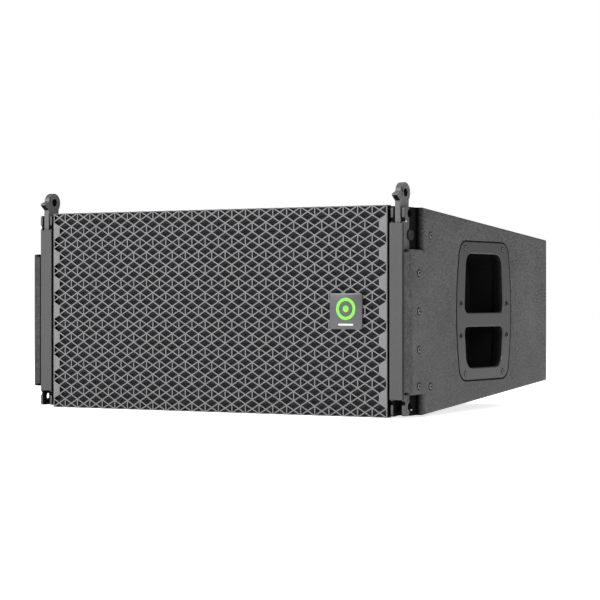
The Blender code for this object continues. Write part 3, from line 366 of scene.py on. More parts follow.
# %% [markdown]
# ### Moulded, pressed and woven parts
# The handles are glass-filled nylon from a spark-eroded mould, which leaves an even satin grain. The
# foam behind the grille is open cell: a sponge of tiny bubbles, so a cell pattern both darkens and
# dents it. The cone is pressed from paper pulp, the spider is a woven cloth stiffened with resin.

# %% Plastic, foam and driver finishes
tree, shader, place = grained_finish(
    "spark_textured_nylon_shade_painted",
    "moulded_handle",
    "1B1B1C",
    "222223",
    grain_mm=0.6,
    lift_mm=0.03,
    gloss=(0.36, 0.45),
    IOR=1.53,
)
# The cups are nearly black. That is painted shade: the coat fades to near black inwards, in any light.
reach = {"Value": outwards(tree, place)}
reach.update({"From Min": side_x - 8 * MM, "From Max": side_x - 0.9 * MM})
paint_in_shade(tree, shader, add(tree, "MapRange", reach).outputs["Result"], "101011")
grained_finish(
    "black_stained_birch",
    "stained_wood",
    "0E0E0F",
    "19191A",
    grain_mm=2.0,
    lift_mm=0.1,
    gloss=(0.7, 0.85),
    Specular_IOR_Level=0.1,
)
grained_finish(
    "moulded_abs_black",
    "socket_plastic",
    "141416",
    "1E1E20",
    grain_mm=0.6,
    lift_mm=0.02,
    gloss=(0.35, 0.45),
    IOR=1.53,
)
grained_finish(
    "moulded_horn_abs",
    "horn_plastic",
    "1B1B1D",
    "262628",
    grain_mm=0.8,
    lift_mm=0.03,
    gloss=(0.4, 0.55),
    IOR=1.53,
)
grained_finish(
    "moulded_rubber",
    "rubber",
    "161617",
    "222223",
    grain_mm=0.7,
    lift_mm=0.03,
    gloss=(0.5, 0.65),
    IOR=1.52,
)
grained_finish(
    "pressed_pulp_paper",
    "cone_paper",
    "202022",
    "323234",
    grain_mm=2.2,
    lift_mm=0.15,
    gloss=(0.75, 0.9),
    IOR=1.45,
)
grained_finish(
    "fibreglass_board",
    "board_green",
    "1D5B36",
    "2A6C44",
    grain_mm=1.2,
    lift_mm=0.03,
    gloss=(0.3, 0.45),
    IOR=1.55,
)
grained_finish(
    "wound_film_capacitor",
    "capacitor_film",
    "C08A2E",
    "D6A24A",
    grain_mm=1.5,
    lift_mm=0.05,
    gloss=(0.25, 0.4),
    IOR=1.5,
)
grained_finish(
    "phenolic_coil_former",
    "coil_former",
    "6B4A2C",
    "80603E",
    grain_mm=1.0,
    lift_mm=0.03,
    gloss=(0.4, 0.55),
    IOR=1.55,
)

tree, shader, place = start_finish(
    "open_cell_foam", "open_foam", Roughness=0.95, Specular_IOR_Level=0.1
)
# Acoustic foam has about 30 cells to the inch, so cells of 0.9 mm; drawn at 1.4 mm to show.
cells = add(tree, "TexVoronoi", {"Vector": place, "Scale": per(1.4)})
sponge = add(
    tree,
    "Mix",
    {0: cells.outputs["Distance"], 6: linear("424245"), 7: linear("1A1A1C")},
    data_type="RGBA",
)
dents = add(
    tree, "Bump", {"Height": cells.outputs["Distance"], "Distance": 0.7 * MM}, invert=True
)
tree.links.new(sponge.outputs[2], shader.inputs["Base Color"])
tree.links.new(dents.outputs["Normal"], shader.inputs["Normal"])

tree, shader, place = start_finish("enamelled_copper_wire", "copper", Roughness=0.3, Metallic=1.0)
# Turns of 1 mm wire lie side by side along the winding, so the bands run around its axis.
turns = add(tree, "TexWave", {"Vector": place, "Scale": per(3.1)}, bands_direction="Y")
copper = add(
    tree,
    "Mix",
    {0: turns.outputs["Fac"], 6: linear("7A3A1C"), 7: linear("C4713D")},
    data_type="RGBA",
)
wound = add(tree, "Bump", {"Height": turns.outputs["Fac"], "Distance": 0.3 * MM})
tree.links.new(copper.outputs[2], shader.inputs["Base Color"])
tree.links.new(wound.outputs["Normal"], shader.inputs["Normal"])

tree, shader, place = start_finish("resin_stiffened_cloth", "spider_cloth", Roughness=0.85, IOR=1.45)
# A plain weave is two sets of threads at right angles, 0.8 mm apart; drawn at 1.6 mm to show.
warp = add(tree, "TexWave", {"Vector": place, "Scale": per(5)}, bands_direction="X")
weft = add(tree, "TexWave", {"Vector": place, "Scale": per(5)}, bands_direction="Z")
weave = add(tree, "Math", {0: warp.outputs["Fac"], 1: weft.outputs["Fac"]}, operation="MULTIPLY")
cloth = add(
    tree,
    "Mix",
    {0: weave.outputs[0], 6: linear("8A6A2A"), 7: linear("C9A75A")},
    data_type="RGBA",
)
threads = add(tree, "Bump", {"Height": weave.outputs[0], "Distance": 0.2 * MM})
tree.links.new(cloth.outputs[2], shader.inputs["Base Color"])
tree.links.new(threads.outputs["Normal"], shader.inputs["Normal"])
print("finishes:", len(finishes))

# %% [markdown]
# ### Small accents
# The badge is a brushed and clear-coated plate with a green enamel ring. Brushing leaves fine
# scratches in one direction, which is noise squeezed across and drawn out along. The sockets'
# contacts are nickel-plated brass.

# %% Badge, enamel and contact finishes
tree, shader, place = start_finish(
    "brushed_badge_plate", "badge_metal", Roughness=0.42, Metallic=0.7
)
# Scratches are 0.05 mm wide on the real plate; drawn at 0.4 mm and 30 mm long to show.
scratch = add(tree, "Mapping", {"Vector": place, "Scale": (per(30), per(0.4), per(0.4))})
lines = add(tree, "TexNoise", {"Vector": scratch.outputs[0], "Scale": 1.0, "Detail": 2.0})
plate = add(
    tree,
    "Mix",
    {0: lines.outputs["Fac"], 6: linear("505052"), 7: linear("66666A")},
    data_type="RGBA",
)
brushing = add(tree, "Bump", {"Height": lines.outputs["Fac"], "Distance": 0.02 * MM})
tree.links.new(plate.outputs[2], shader.inputs["Base Color"])
tree.links.new(brushing.outputs["Normal"], shader.inputs["Normal"])

grained_finish(
    "green_vitreous_enamel",
    "badge_enamel",
    "6FC93A",
    "86DC4C",
    grain_mm=3.0,
    lift_mm=0.01,
    gloss=(0.12, 0.2),
    IOR=1.55,
)
grained_finish(
    "white_vitreous_enamel",
    "badge_white",
    "D9D9D6",
    "EDEDEA",
    grain_mm=3.0,
    lift_mm=0.01,
    gloss=(0.12, 0.2),
    IOR=1.55,
)
grained_finish(
    "nickel_plated_brass",
    "contact_metal",
    "A89F85",
    "C6BEA6",
    grain_mm=1.0,
    lift_mm=0.01,
    gloss=(0.15, 0.28),
    Metallic=1.0,
)
# The shadow finish: near black with little shine, painted shade for slots, bores, sockets, hole walls
# and seams.
grained_finish(
    "painted_shade_near_black",
    "dark_recess",
    "060607",
    "0C0C0D",
    grain_mm=0.8,
    lift_mm=0.02,
    gloss=(0.8, 0.9),
    Specular_IOR_Level=0.08,
)
print("accents ready:", len(finishes), "finishes in all")

# %% [markdown]
# ## Dressing the frame
# Each working part names the slot that its finish comes from, so one pass gives every part its
# material. Some parts are copied afterwards with rounded edges; the rest show as they are.

# %% Give every part its finish
RAIL_PARTS = ("rail_cover_left", "rail_cover_right", "rail_channel_left", "rail_channel_right")
INNER_WOOD = ("rail_cleat_left", "rail_cleat_right", "front_baffle")
LINK_PARTS = ("front_link_left", "front_link_right", "rear_link", "rear_bracket")
finish_name = {}
for name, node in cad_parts.items():
    finish_name[name] = node.active_material.name.split(".")[0]
finish_name.update(dict.fromkeys(RAIL_PARTS, "rail_coat"))
finish_name.update(dict.fromkeys(LINK_PARTS, "link_steel"))
finish_name.update(dict.fromkeys(INNER_WOOD, "stained_wood"))
finish_name.update(dict.fromkeys(("side_panel_left", "side_panel_right"), "side_paint"))
finish_name["input_plate"] = "rail_coat"
for name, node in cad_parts.items():
    node.data.materials.clear()
    node.data.materials.append(finishes[finish_name[name]])
print(len(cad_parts), "parts dressed in", len(set(finish_name.values())), "finishes")

# %% [markdown]
# ## Making a piece
# Every new piece is a bmesh that becomes one object at the origin, dressed in its finish, riding on
# its body. Edges sharper than a set angle stay crisp, the others are shaded smooth.


# %% From a bmesh to a piece
def settle(bm, name, finish, body="cabinet", stands_for=(), crisp=32):
    """Makes the finished object from a bmesh, and ties it to its body and finish."""
    bmesh.ops.recalc_face_normals(bm, faces=bm.faces)
    mesh = bpy.data.meshes.new(name)
    bm.to_mesh(mesh)
    bm.free()
    for one in [finish] if isinstance(finish, str) else finish:
        mesh.materials.append(finishes[one])
    mesh.shade_smooth()
    mesh.set_sharp_from_angle(angle=math.radians(crisp))
    piece = bpy.data.objects.new(name, mesh)
    scene.collection.objects.link(piece)
    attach(piece, body)
    if stands_for:
        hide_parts(*stands_for)
    print(f"{name}: {len(mesh.polygons)} faces, {[round(d / MM, 1) for d in piece.dimensions]} mm")
    return piece


# %% [markdown]
# ## Rounded edges on cut parts
# No saw or laser leaves a true corner, and a thin bright line along each edge is what makes steel
# and painted wood look real. A part with the right shape already is copied, its loose triangles are
# merged, the lines inside its flat faces are dissolved, and a Bevel modifier rounds what is left.


# %% Copies with eased edges
def ease(name, node, radius_mm, body="cabinet", spread=(1, 1, 1), split=(), dark=None):
    """A copy of a working part with its edges rounded. spread stretches it about the middle.
    split cuts its faces along planes; dark picks the faces that take the shadow finish."""
    bm = bmesh.new()
    bm.from_mesh(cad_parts[node].data)
    bmesh.ops.remove_doubles(bm, verts=bm.verts, dist=0.001 * MM)
    bmesh.ops.dissolve_limit(
        bm,
        angle_limit=math.radians(0.5),
        verts=bm.verts,
        edges=bm.edges,
    )
    for cut, along in split:
        everything = bm.verts[:] + bm.edges[:] + bm.faces[:]
        bmesh.ops.bisect_plane(bm, geom=everything, dist=1e-7, plane_co=cut, plane_no=along)
    if dark:
        bm.normal_update()
        for face in bm.faces:
            face.material_index = int(dark(*read_off(face.calc_center_median()), face.normal))
    middle = Matrix.Translation((0, 0, -middle_z))
    bmesh.ops.scale(bm, vec=spread, space=middle, verts=bm.verts)
    piece = settle(bm, name, (finish_name[node], "dark_recess"), body, (node,))
    rounding = piece.modifiers.new("eased_edges", "BEVEL")
    rounding.width = radius_mm * MM
    rounding.segments = 2
    rounding.limit_method = "ANGLE"
    rounding.angle_limit = math.radians(40)
    rounding.use_clamp_overlap = False
    rounding.harden_normals = True
    return piece


# The panels meet under one sprayed coat, so they are spread by the joint's 0.3 mm to close it.
ease("painted_top", "top_panel", 0.6, spread=(1.0008, 1, 1))
ease("painted_bottom", "bottom_panel", 0.6, spread=(1.0008, 1, 1))
ease("painted_back", "back_panel", 0.6, spread=(1.0008, 1, 1.003))


NOTCH_DEEP = 9
NOTCH_BACK = 46


def in_notch(across, depth, up, normal):
    """The floor of the notches beside the rail, which lies in shadow."""
    return across < side_x / MM - NOTCH_DEEP and depth < NOTCH_BACK and abs(normal.x) > 0.9


for hand, _ in HANDS:
    ease(f"painted_side_{hand}", f"side_panel_{hand}", 0.5, dark=in_notch)

# %% [markdown]
# ### Steel with eased edges
# The rails are powder coated as one piece. Little light reaches into a deep slot, so the inside of the
# channel and the fork is given the shadow finish as painted shade. Only the front strip and the first
# few millimetres of the flank are lighter.
# The bore of a link's head, the underside of its beak and a narrow groove down the head's front are
# dark in the same way. The groove is only a strip of finish here, and what it is for is a guess.

# %% Steel with eased edges
RAIL_FLANK = 16.8
RAIL_FRONT_EDGE = 4
FLANK_SLACK = 0.6
BORE_DEPTH = 17.5
BORE_BELOW_TOP = 14.5
BORE_REACH = 6.2
BEAK_BELOW_TOP = 32
BEAK_BACK = 9
# How far the painted shade reaches past the link on each side of the slot, in millimetres.
SLOT_MARGIN = (2.6, 2.2)
rail_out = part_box("rail_channel_right")[1].x / MM
link_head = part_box("front_link_right")[1].z / MM
slot_in, slot_out = (corner.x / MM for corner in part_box("front_link_right"))
slot_in, slot_out = slot_in - SLOT_MARGIN[0], slot_out + SLOT_MARGIN[1]


def in_slot(across, depth, up, normal):
    """Faces of a rail that lie in its slot or in the notch beside it, which take painted shade."""
    flank = abs(normal.x) > 0.7 and across > rail_out - FLANK_SLACK and depth < RAIL_FLANK
    strip = normal.y < -0.7 and depth < RAIL_FRONT_EDGE and not slot_in < across < slot_out
    return not (flank or strip)


GROOVE = (5.9, 7.2)
GROOVE_FOOT = link_head - 13


def shaded(across, depth, up, normal):
    """The faces given painted shade: the wall of the bore in a link's head, a strip for its sighting
    groove and the underside of the beak.
    """
    from_bore = math.hypot(depth - BORE_DEPTH, up - (link_head - BORE_BELOW_TOP))
    bore = abs(normal.x) < 0.3 and from_bore < BORE_REACH
    groove = abs(normal.x) > 0.9 and GROOVE[0] < depth < GROOVE[1] and up > GROOVE_FOOT
    beak = normal.z < -0.3 and depth < BEAK_BACK and up > link_head - BEAK_BELOW_TOP
    return bore or groove or beak


for hand, side in HANDS:
    cuts = [(at(side * slot_in, 0, 0), (1, 0, 0)), (at(side * slot_out, 0, 0), (1, 0, 0))]
    cuts.append((at(0, RAIL_FLANK, 0), (0, 1, 0)))
    ease(f"coated_rail_{hand}", f"rail_channel_{hand}", 0.4,
         split=cuts, dark=in_slot)
    ease(f"coated_cover_{hand}", f"rail_cover_{hand}", 0.5)
    cuts = [(at(0, depth, 0), (0, 1, 0)) for depth in GROOVE]
    cuts.append((at(0, 0, GROOVE_FOOT), (0, 0, 1)))
    ease(f"flying_link_{hand}", f"front_link_{hand}", 0.7, f"front_link_{hand}",
         split=cuts, dark=shaded)
ease("rear_bracket_eased", "rear_bracket", 0.6)
ease("rear_link_eased", "rear_link", 0.7, "rear_link")

# %% [markdown]
# ## The perforated front
# The front is one sheet of steel, punched with rows of lozenges, where every third row is split by
# an upright bar into pairs of triangles. It could be drawn hole by hole, but a lattice is quicker:
# a square grid turned by 45 degrees and stretched is already a sheet of lozenges. Insetting each one
# leaves the webs between, and the inner faces are the holes. The first and last lozenges of the
# rows between stay uncut, which gives the toothed margin down both sides. Then the sheet's edges are
# folded back and it is given its thickness, as a press brake would leave it.

# %% Lattice of the grille
HOLES_ACROSS = 25
ROWS_DOWN = 44
WEB = 1.75 * MM
FLANGE = 13.5 * MM
FOLD = 1.2 * MM
SHEET = 1.5 * MM
low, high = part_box("front_grille")
pitch = (high.x - low.x) / HOLES_ACROSS
half_row = (high.z - low.z) / ROWS_DOWN

lattice = bmesh.new()
TILES = 27
bmesh.ops.create_grid(lattice, x_segments=2 * TILES, y_segments=2 * TILES, size=1)
bmesh.ops.rotate(lattice, verts=lattice.verts, matrix=Matrix.Rotation(math.radians(45), 3, "Z"))
widen = Vector((pitch, 2 * half_row, 1)) * TILES / math.sqrt(2)
bmesh.ops.scale(lattice, verts=lattice.verts, vec=widen)
bmesh.ops.rotate(lattice, verts=lattice.verts, matrix=Matrix.Rotation(math.radians(90), 3, "X"))
bmesh.ops.translate(lattice, verts=lattice.verts, vec=(0, low.y, high.z - 21 * half_row))
print(len(lattice.faces), "lozenges,", round(pitch / MM, 2), "by", round(2 * half_row / MM, 2), "mm")


# %% Holes of the grille
def column_and_row(face):
    """Where a tile's middle lies: in pitches from the left, and in half rows below the first."""
    middle = face.calc_center_median()
    return (middle.x - low.x) / pitch, (high.z - middle.z) / half_row - 1


holes = []
for tile in list(lattice.faces):
    column, row = column_and_row(tile)
    row = round(row)
    if not -1 <= row < ROWS_DOWN:
        continue
    if row % 3:
        # The middle two rows of each three are whole lozenges; every other pair is one shorter.
        first = 0 if row % 6 in (1, 5) else 0.6
        if first < column < HOLES_ACROSS - first:
            holes.append(tile)
        continue
    bottom, top = sorted(tile.verts, key=lambda v: v.co.z)[:: len(tile.verts) - 1]
    if not -0.2 < column < HOLES_ACROSS + 0.2:
        continue
    other, _ = bmesh.utils.face_split(tile, bottom, top)
    first = 0 if row % 6 == 0 else 0.5
    for half in (tile, other):
        if first < column_and_row(half)[0] < HOLES_ACROSS - first:
            holes.append(half)
bmesh.ops.inset_individual(lattice, faces=holes, thickness=WEB / 2, use_even_offset=True)
bmesh.ops.delete(lattice, geom=holes, context="FACES")
print(len(holes), "holes punched")

# %% Trim the sheet and fold its edges
OUT = ((Vector((1, 0, 0)), high.x), (Vector((-1, 0, 0)), -low.x))
UP = ((Vector((0, 0, 1)), high.z), (Vector((0, 0, -1)), -low.z))
steps = (-FOLD, FOLD * (math.sqrt(2) - 1), FLANGE)
for outward, edge in OUT + UP:
    for step in steps:
        bmesh.ops.bisect_plane(
            lattice,
            geom=lattice.verts[:] + lattice.edges[:] + lattice.faces[:],
            dist=1e-7,
            plane_co=outward * (edge + step),
            plane_no=outward,
            clear_outer=step == FLANGE,
        )


def beyond(point, side):
    """How far a point lies outside one side's first fold line."""
    outward, edge = side
    return point.dot(outward) - edge + FOLD


corners = [
    face
    for face in lattice.faces
    if any(beyond(face.calc_center_median(), side) > 0 for side in OUT)
    and any(beyond(face.calc_center_median(), side) > 0 for side in UP)
]
bmesh.ops.delete(lattice, geom=corners, context="FACES")

back = Vector((0, 1, 0))
for side in OUT + UP:
    outward, edge = side
    soft = [v for v in lattice.verts if beyond(v.co, side) > 1e-6]
    flange = [v for v in soft if beyond(v.co, side) > FOLD * math.sqrt(2) + 1e-6]
    turn45 = Matrix.Rotation(math.radians(45), 3, outward.cross(back))
    first = outward * (edge - FOLD) + back * low.y
    bmesh.ops.rotate(lattice, verts=soft, cent=first, matrix=turn45)
    bmesh.ops.rotate(lattice, verts=flange, cent=first + (outward + back) * FOLD, matrix=turn45)
bmesh.ops.recalc_face_normals(lattice, faces=lattice.faces)
front_faces = [f for f in lattice.faces if abs(f.normal.y) > 0.9]
if sum(f.normal.y for f in front_faces) > 0:
    bmesh.ops.reverse_faces(lattice, faces=lattice.faces)
bmesh.ops.solidify(lattice, geom=lattice.faces[:], thickness=SHEET)
# The walls of the holes and the four folded rims, in the gaps around the sheet, hold little light,
# so they take the shadow finish.
lattice.normal_update()
for face in lattice.faces:
    middle = face.calc_center_median()
    inside = all(beyond(middle, side) < 0 for side in OUT + UP)
    folded = any(beyond(middle, side) > 0.6 * FOLD for side in OUT + UP)
    face.material_index = int((inside or folded) and abs(face.normal.y) < 0.5)
coats = ("powder_coat", "dark_recess")
settle(lattice, "perforated_grille", coats, stands_for=("front_grille",))

# %% [markdown]
# ## Foam behind the grille
# A sheet of open-cell foam keeps dust and rain off the drivers, and lets sound through. It is a
# plain flat sheet, pressed against the grille by the baffle, so it is a slab with softened edges.
# It sits a few millimetres behind the steel, so that the holes show their own dark walls first.

# %% Foam sheet
FOAM_SET_BACK = 4.5 * MM
foam_low, foam_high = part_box("grille_foam")
foam_low.y += FOAM_SET_BACK
foam = bmesh.new()
bmesh.ops.create_cube(foam, size=1)
bmesh.ops.scale(foam, verts=foam.verts, vec=foam_high - foam_low)
bmesh.ops.translate(foam, verts=foam.verts, vec=(foam_high + foam_low) / 2)
bmesh.ops.subdivide_edges(
    foam,
    edges=[e for e in foam.edges if abs((e.verts[0].co - e.verts[1].co).y) < 1e-6],
    cuts=23,
    use_grid_fill=True,
)
rim = [e for e in foam.edges if len(e.link_faces) == 2 and e.calc_face_angle() > 1]
bmesh.ops.bevel(foam, geom=rim, offset=1.6 * MM, segments=3, profile=0.5, affect="EDGES", material=-1)
foam_sheet = settle(foam, "acoustic_foam", "open_foam", stands_for=("grille_foam",))

# %% [markdown]
# ## Turned parts
# Screws, rings, pins and contacts are all round, so each one is a short profile spun about an axis.
# The profile is a list of radius and height, read from the middle outwards, and the spun shape is
# then stood where it belongs.


# %% Spin a profile
def turned(bm, profile, place, steps=24, closed=False):
    """Spins (radius, height) points in millimetres about Z, places the shape, returns its faces."""
    old_verts, old_faces = set(bm.verts), set(bm.faces)
    points = [bm.verts.new((radius * MM, 0, height * MM)) for radius, height in profile]
    pairs = list(zip(points, points[1:]))
    if closed:
        pairs.append((points[-1], points[0]))
    lines = [bm.edges.new(pair) for pair in pairs]
    bmesh.ops.spin(
        bm,
        geom=points + lines,
        axis=(0, 0, 1),
        cent=(0, 0, 0),
        steps=steps,
        angle=math.tau,
        use_merge=True,
    )
    fresh = [v for v in bm.verts if v not in old_verts]
    bmesh.ops.remove_doubles(bm, verts=fresh, dist=0.002 * MM)
    fresh = [v for v in bm.verts if v not in old_verts]
    bmesh.ops.transform(bm, matrix=place, verts=fresh)
    return [f for f in bm.faces if f not in old_faces]


def facing(direction, point):
    """The matrix that stands a turned part at a point with its top towards a direction."""
    turn = Vector(direction).to_track_quat("Z", "Y").to_matrix().to_4x4()
    return Matrix.Translation(point) @ turn


def socket_screw(bm, place, radius, rise, key, washer=0):
    """A low button head with a six-sided socket. Its socket takes the piece's second finish, as
    does the washer under it; here that is the shadow finish, painted shade."""
    if washer:
        ring = [(radius * 0.9, -0.2), (radius * 0.9, 0.3), (washer - 0.3, 0.3), (washer, 0)]
        for face in turned(bm, ring + [(washer, -0.2)], place, steps=32, closed=True):
            face.material_index = 1
    profile = [(0, rise * 0.12), (key, rise * 0.12), (key, rise * 0.9), (key * 1.1, rise)]
    profile += [(radius * 0.72, rise * 0.96), (radius * 0.95, rise * 0.5), (radius, 0), (0, 0)]
    faces = turned(bm, profile, Matrix.Identity(4), steps=24)
    for vert in {v for face in faces for v in face.verts}:
        reach = math.hypot(vert.co.x, vert.co.y)
        if abs(reach - key * MM) < 0.01 * MM:
            corner = math.atan2(vert.co.y, vert.co.x) % math.radians(60) - math.radians(30)
            vert.co.xy = vert.co.xy * math.cos(math.radians(30)) / math.cos(corner)
    for face in faces:
        inside = all(math.hypot(v.co.x, v.co.y) < key * 1.05 * MM for v in face.verts)
        face.material_index = 1 if inside and face.calc_center_median().z > 0.05 * MM else 0
    bmesh.ops.transform(bm, matrix=place, verts=list({v for f in faces for v in f.verts}))
    return faces


print("turning helpers ready")

# %% [markdown]
# ## Screws on the sides
# Four screws down the front edge hold the rail through the side, and two more hold its inner cleat.
# The handle has four small screws in its corners and four larger ones beside the grip, where the
# load is. They are button heads with a key socket; the socket, and the washer where there is one, are
# painted near black as shade. A black ring of painted shade lines the seam around each handle.
# It follows the handle's own outline, so it is inset from a copy of its plate.
# Each rail also shows two small bright dots. They are taken for spring balls that keep a pin in,
# which is a guess, and are turned as low domes.

# %% Side and handle screws
RAIL_SCREWS = ((22, 44.6), (22, 96), (22, 150), (22, 203.7), (56.3, 43.4), (56.3, 257.4))
CORNER_SCREWS = ((166, 242), (290, 242), (166, 58.5), (290, 58.5))
SEAM_SHADE_WIDE = 1.4 * MM
GRIP_SCREWS = ((152, 160.5), (304, 160.5), (152, 113.2), (304, 113.2))
for hand, sign in HANDS:
    heads = bmesh.new()
    for depth, z in RAIL_SCREWS:
        socket_screw(heads, facing((sign, 0, 0), at(sign * side_x / MM, depth, z)), 4.3, 1.2, 2.1, 5.8)
    settle(heads, f"rail_screws_{hand}", ("link_steel", "dark_recess"))
    heads = bmesh.new()
    for depth, z in CORNER_SCREWS:
        socket_screw(heads, facing((sign, 0, 0), at(sign * side_x / MM, depth, z)), 3.4, 0.9, 1.7, 4.4)
    settle(heads, f"corner_screws_{hand}", ("link_steel", "dark_recess"))
    heads = bmesh.new()
    for depth, z in GRIP_SCREWS:
        socket_screw(heads, facing((sign, 0, 0), at(sign * side_x / MM, depth, z)), 4.4, 1.3, 2.0)
    settle(heads, f"grip_screws_{hand}", ("black_oxide", "dark_recess"))

# %% Spring balls in the rails
DETENTS = ((22, 11.5), (7.5, 276.5))
for hand, sign in HANDS:
    balls = bmesh.new()
    for depth, z in DETENTS:
        dome = [(0, 1.5), (0.8, 1.3), (1.5, 0.5), (1.7, -0.2), (0, -0.2)]
        turned(balls, dome, facing((sign, 0, 0), at(sign * (rail_out - 0.4), depth, z)), steps=20)
    settle(balls, f"spring_balls_{hand}", "zinc_plate", crisp=60)

# %% Painted seam shade around the handles
for hand, sign in HANDS:
    seam_shade = bmesh.new()
    seam_shade.from_mesh(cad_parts[f"handle_{hand}"].data)
    bmesh.ops.remove_doubles(seam_shade, verts=seam_shade.verts, dist=0.001 * MM)
    seam_shade.normal_update()
    hidden = [f for f in seam_shade.faces if f.normal.x * sign < 0.9
              or read_off(f.calc_center_median())[0] < side_x / MM - 1]
    bmesh.ops.delete(seam_shade, geom=hidden, context="FACES")
    bmesh.ops.dissolve_limit(
        seam_shade, angle_limit=math.radians(0.5), verts=seam_shade.verts, edges=seam_shade.edges
    )
    rings = bmesh.ops.inset_region(
        seam_shade, faces=seam_shade.faces[:], thickness=SEAM_SHADE_WIDE, use_even_offset=True, use_boundary=True
    )["faces"]
    low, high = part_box(f"handle_{hand}")
    middle = (low + high) / 2
    outer = []
    for face in rings:
        away = face.calc_center_median() - middle
        if abs(away.y) > 0.4 * (high.y - low.y) or abs(away.z) > 0.43 * (high.z - low.z):
            outer.append(face)
    bmesh.ops.delete(seam_shade, geom=[f for f in seam_shade.faces if f not in outer], context="FACES")
    bmesh.ops.translate(seam_shade, verts=seam_shade.verts, vec=(sign * 0.2 * MM, 0, 0))
    bmesh.ops.solidify(seam_shade, geom=seam_shade.faces[:], thickness=0.3 * MM)
    settle(seam_shade, f"handle_seam_shade_{hand}", "dark_recess")

# %% [markdown]
# ## Hardware on the back
# The back can't be seen on the object, so this is what such a cabinet usually has. The bracket
# carries part of the column's weight, so it is held by hexagon bolts with washers. The input plate
# has four small screws. Each socket has two in opposite corners of its flange, and a round core
# between two contacts.


# %% Bolts on the bracket
def hex_bolt(bm, place, across_flats, tall, washer):
    """A hexagon head on its washer. The washer takes the piece's second finish."""
    corner = across_flats / math.sqrt(3)
    under = [(corner * 0.6, -0.2), (corner * 0.6, 1.2), (washer - 0.3, 1.2), (washer, 0.9)]
    for face in turned(bm, under + [(washer, -0.2)], place, steps=32, closed=True):
        face.material_index = 1
    head = [(0, 1.0), (corner, 1.0), (corner, tall + 0.4), (corner * 0.86, tall + 1), (0, tall + 1)]
    turned(bm, head, place, steps=6)


PLATE_FACE = 454.3
BOLT_ACROSS = (-36, 36)
BOLT_UP = (76, 113, 187, 224)
bolts = bmesh.new()
for x in BOLT_ACROSS:
    for z in BOLT_UP:
        hex_bolt(bolts, facing((0, 1, 0), at(x, PLATE_FACE, z)), 10, 6, 8)
settle(bolts, "bracket_bolts", ("zinc_plate", "black_oxide"), crisp=25)

# %% Input plate screws and socket cores
PANEL_FACE = 450
FLANGE_FACE = 452.8
SCREW_INSET = 6
FLANGE_SCREW = 10
panel_low, panel_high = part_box("input_plate")
panel_middle = (panel_low + panel_high) / 2 / MM
panel_half = (panel_high - panel_low) / 2 / MM
heads = bmesh.new()
for side in (-1, 1):
    for level in (-1, 1):
        across = panel_middle.x + side * (panel_half.x - SCREW_INSET)
        up = panel_middle.z + level * (panel_half.z - SCREW_INSET)
        spot = at(across, PANEL_FACE, up)
        socket_screw(heads, facing((0, 1, 0), spot), 3.4, 1.4, 1.6)
for socket in ("connector_in", "connector_link"):
    middle_x = (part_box(socket)[0].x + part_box(socket)[1].x) / 2 / MM
    for side in (-1, 1):
        corner = side * FLANGE_SCREW
        spot = at(middle_x + corner, FLANGE_FACE, panel_middle.z + corner)
        socket_screw(heads, facing((0, 1, 0), spot), 1.9, 0.8, 0.9)
settle(heads, "plate_screws", ("black_oxide", "dark_recess"))

CORE_START = 434
BLADE = (3.4, 9, 1.2)
BLADE_MIDDLE = 440
BLADE_UP = 5.2
cores = bmesh.new()
blades = bmesh.new()
for socket in ("connector_in", "connector_link"):
    middle_x = (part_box(socket)[0].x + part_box(socket)[1].x) / 2 / MM
    core = [(0, 13), (4.4, 13), (5, 12.4), (5, 0.2), (0, 0.2)]
    turned(cores, core, facing((0, 1, 0), at(middle_x, CORE_START, panel_middle.z)), steps=32)
    for level in (-1, 1):
        strip = bmesh.ops.create_cube(blades, size=1)["verts"]
        bmesh.ops.scale(blades, verts=strip, vec=Vector(BLADE) * MM)
        spot = at(middle_x, BLADE_MIDDLE, panel_middle.z + level * BLADE_UP)
        bmesh.ops.translate(blades, verts=strip, vec=spot)
bmesh.ops.bevel(
    blades, geom=blades.edges[:], offset=0.2 * MM, segments=2, profile=0.5, affect="EDGES", material=-1
)
settle(cores, "socket_cores", "socket_plastic")
settle(blades, "socket_contacts", "contact_metal")

# %% [markdown]
# ## Badge
# The badge is a small plate on the grille. Its mark is a plain one of our own: two green rings like
# a cone and its centre, and a short white bar. The plate is a block with its corners and its front
# rim bevelled, and the rings are spun and stand a little proud, as inlaid enamel does.

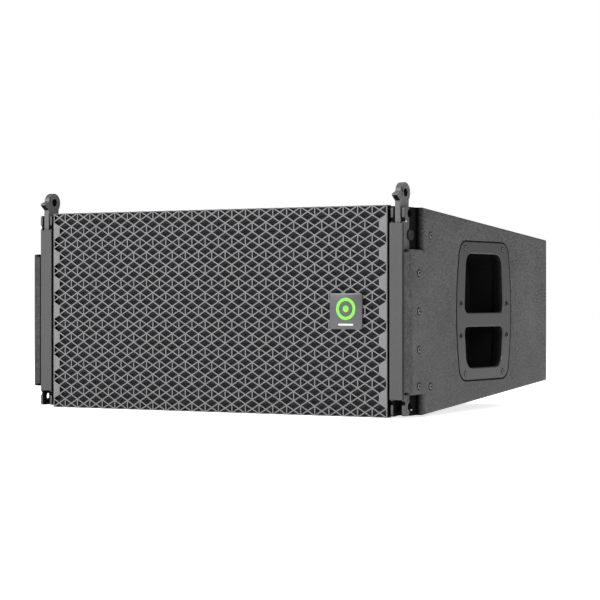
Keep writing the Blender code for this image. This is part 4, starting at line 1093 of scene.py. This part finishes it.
# %% Badge plate and mark
badge_low, badge_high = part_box("badge")
badge_middle = (badge_low + badge_high) / 2
plate = bmesh.new()
bmesh.ops.create_cube(plate, size=1)
bmesh.ops.scale(plate, verts=plate.verts, vec=badge_high - badge_low)
bmesh.ops.translate(plate, verts=plate.verts, vec=badge_middle)
uprights = [e for e in plate.edges if abs((e.verts[0].co - e.verts[1].co).y) > 1e-6]
bmesh.ops.bevel(
    plate, geom=uprights, offset=3 * MM, segments=5, profile=0.5, affect="EDGES", material=-1
)
front_rim = [e for e in plate.edges if all(abs(v.co.y - badge_low.y) < 1e-6 for v in e.verts)]
bmesh.ops.bevel(
    plate, geom=front_rim, offset=0.5 * MM, segments=2, profile=0.5, affect="EDGES", material=-1
)
settle(plate, "badge_plate", "badge_metal", stands_for=("badge",))

face_centre = Vector((badge_middle.x, badge_low.y, badge_middle.z)) + Vector((0, 0, 3.5 * MM))
mark = bmesh.new()
RING = [(11, -0.3), (11.4, 0.5), (15.6, 0.5), (16, -0.3)]
turned(mark, RING, facing((0, -1, 0), face_centre), steps=64, closed=True)
DOT = [(0, 0.6), (4.6, 0.5), (5, -0.3), (0, -0.3)]
turned(mark, DOT, facing((0, -1, 0), face_centre), steps=40)
settle(mark, "badge_rings", "badge_enamel")

bar = bmesh.new()
bmesh.ops.create_cube(bar, size=1)
bmesh.ops.scale(bar, verts=bar.verts, vec=(24 * MM, 0.8 * MM, 2.4 * MM))
bar_centre = Vector((badge_middle.x, badge_low.y - 0.1 * MM, badge_low.z + 6.5 * MM))
bmesh.ops.translate(bar, verts=bar.verts, vec=bar_centre)
bmesh.ops.bevel(
    bar, geom=bar.edges[:], offset=0.25 * MM, segments=2, profile=0.5, affect="EDGES", material=-1
)
settle(bar, "badge_bar", "badge_white")

# %% [markdown]
# ## Floor
# The cabinet stands on a wide pale floor. The floor is no part of it.

# %% Pale floor
floor_bm = bmesh.new()
bmesh.ops.create_circle(floor_bm, cap_ends=True, segments=96, radius=14)
floor_mesh = bpy.data.meshes.new("pale_floor")
floor_bm.to_mesh(floor_mesh)
floor_bm.free()
floor = bpy.data.objects.new("pale_floor", floor_mesh)
scene.collection.objects.link(floor)
tree, shader, place = start_finish("pale_studio_paper", "floor", Roughness=0.9, IOR=1.4)
fibre = add(tree, "TexNoise", {"Vector": place, "Scale": per(8), "Detail": 2.0})
paper = add(
    tree,
    "Mix",
    {0: fibre.outputs["Fac"], 6: linear("F4F4F4"), 7: linear("F8F8F8")},
    data_type="RGBA",
)
tree.links.new(paper.outputs[2], shader.inputs["Base Color"])
tree.links.new(paper.outputs[2], shader.inputs["Emission Color"])
shader.inputs["Emission Strength"].default_value = 0.8
floor.data.materials.append(finishes["floor"])
print("floor radius", 14, "m")
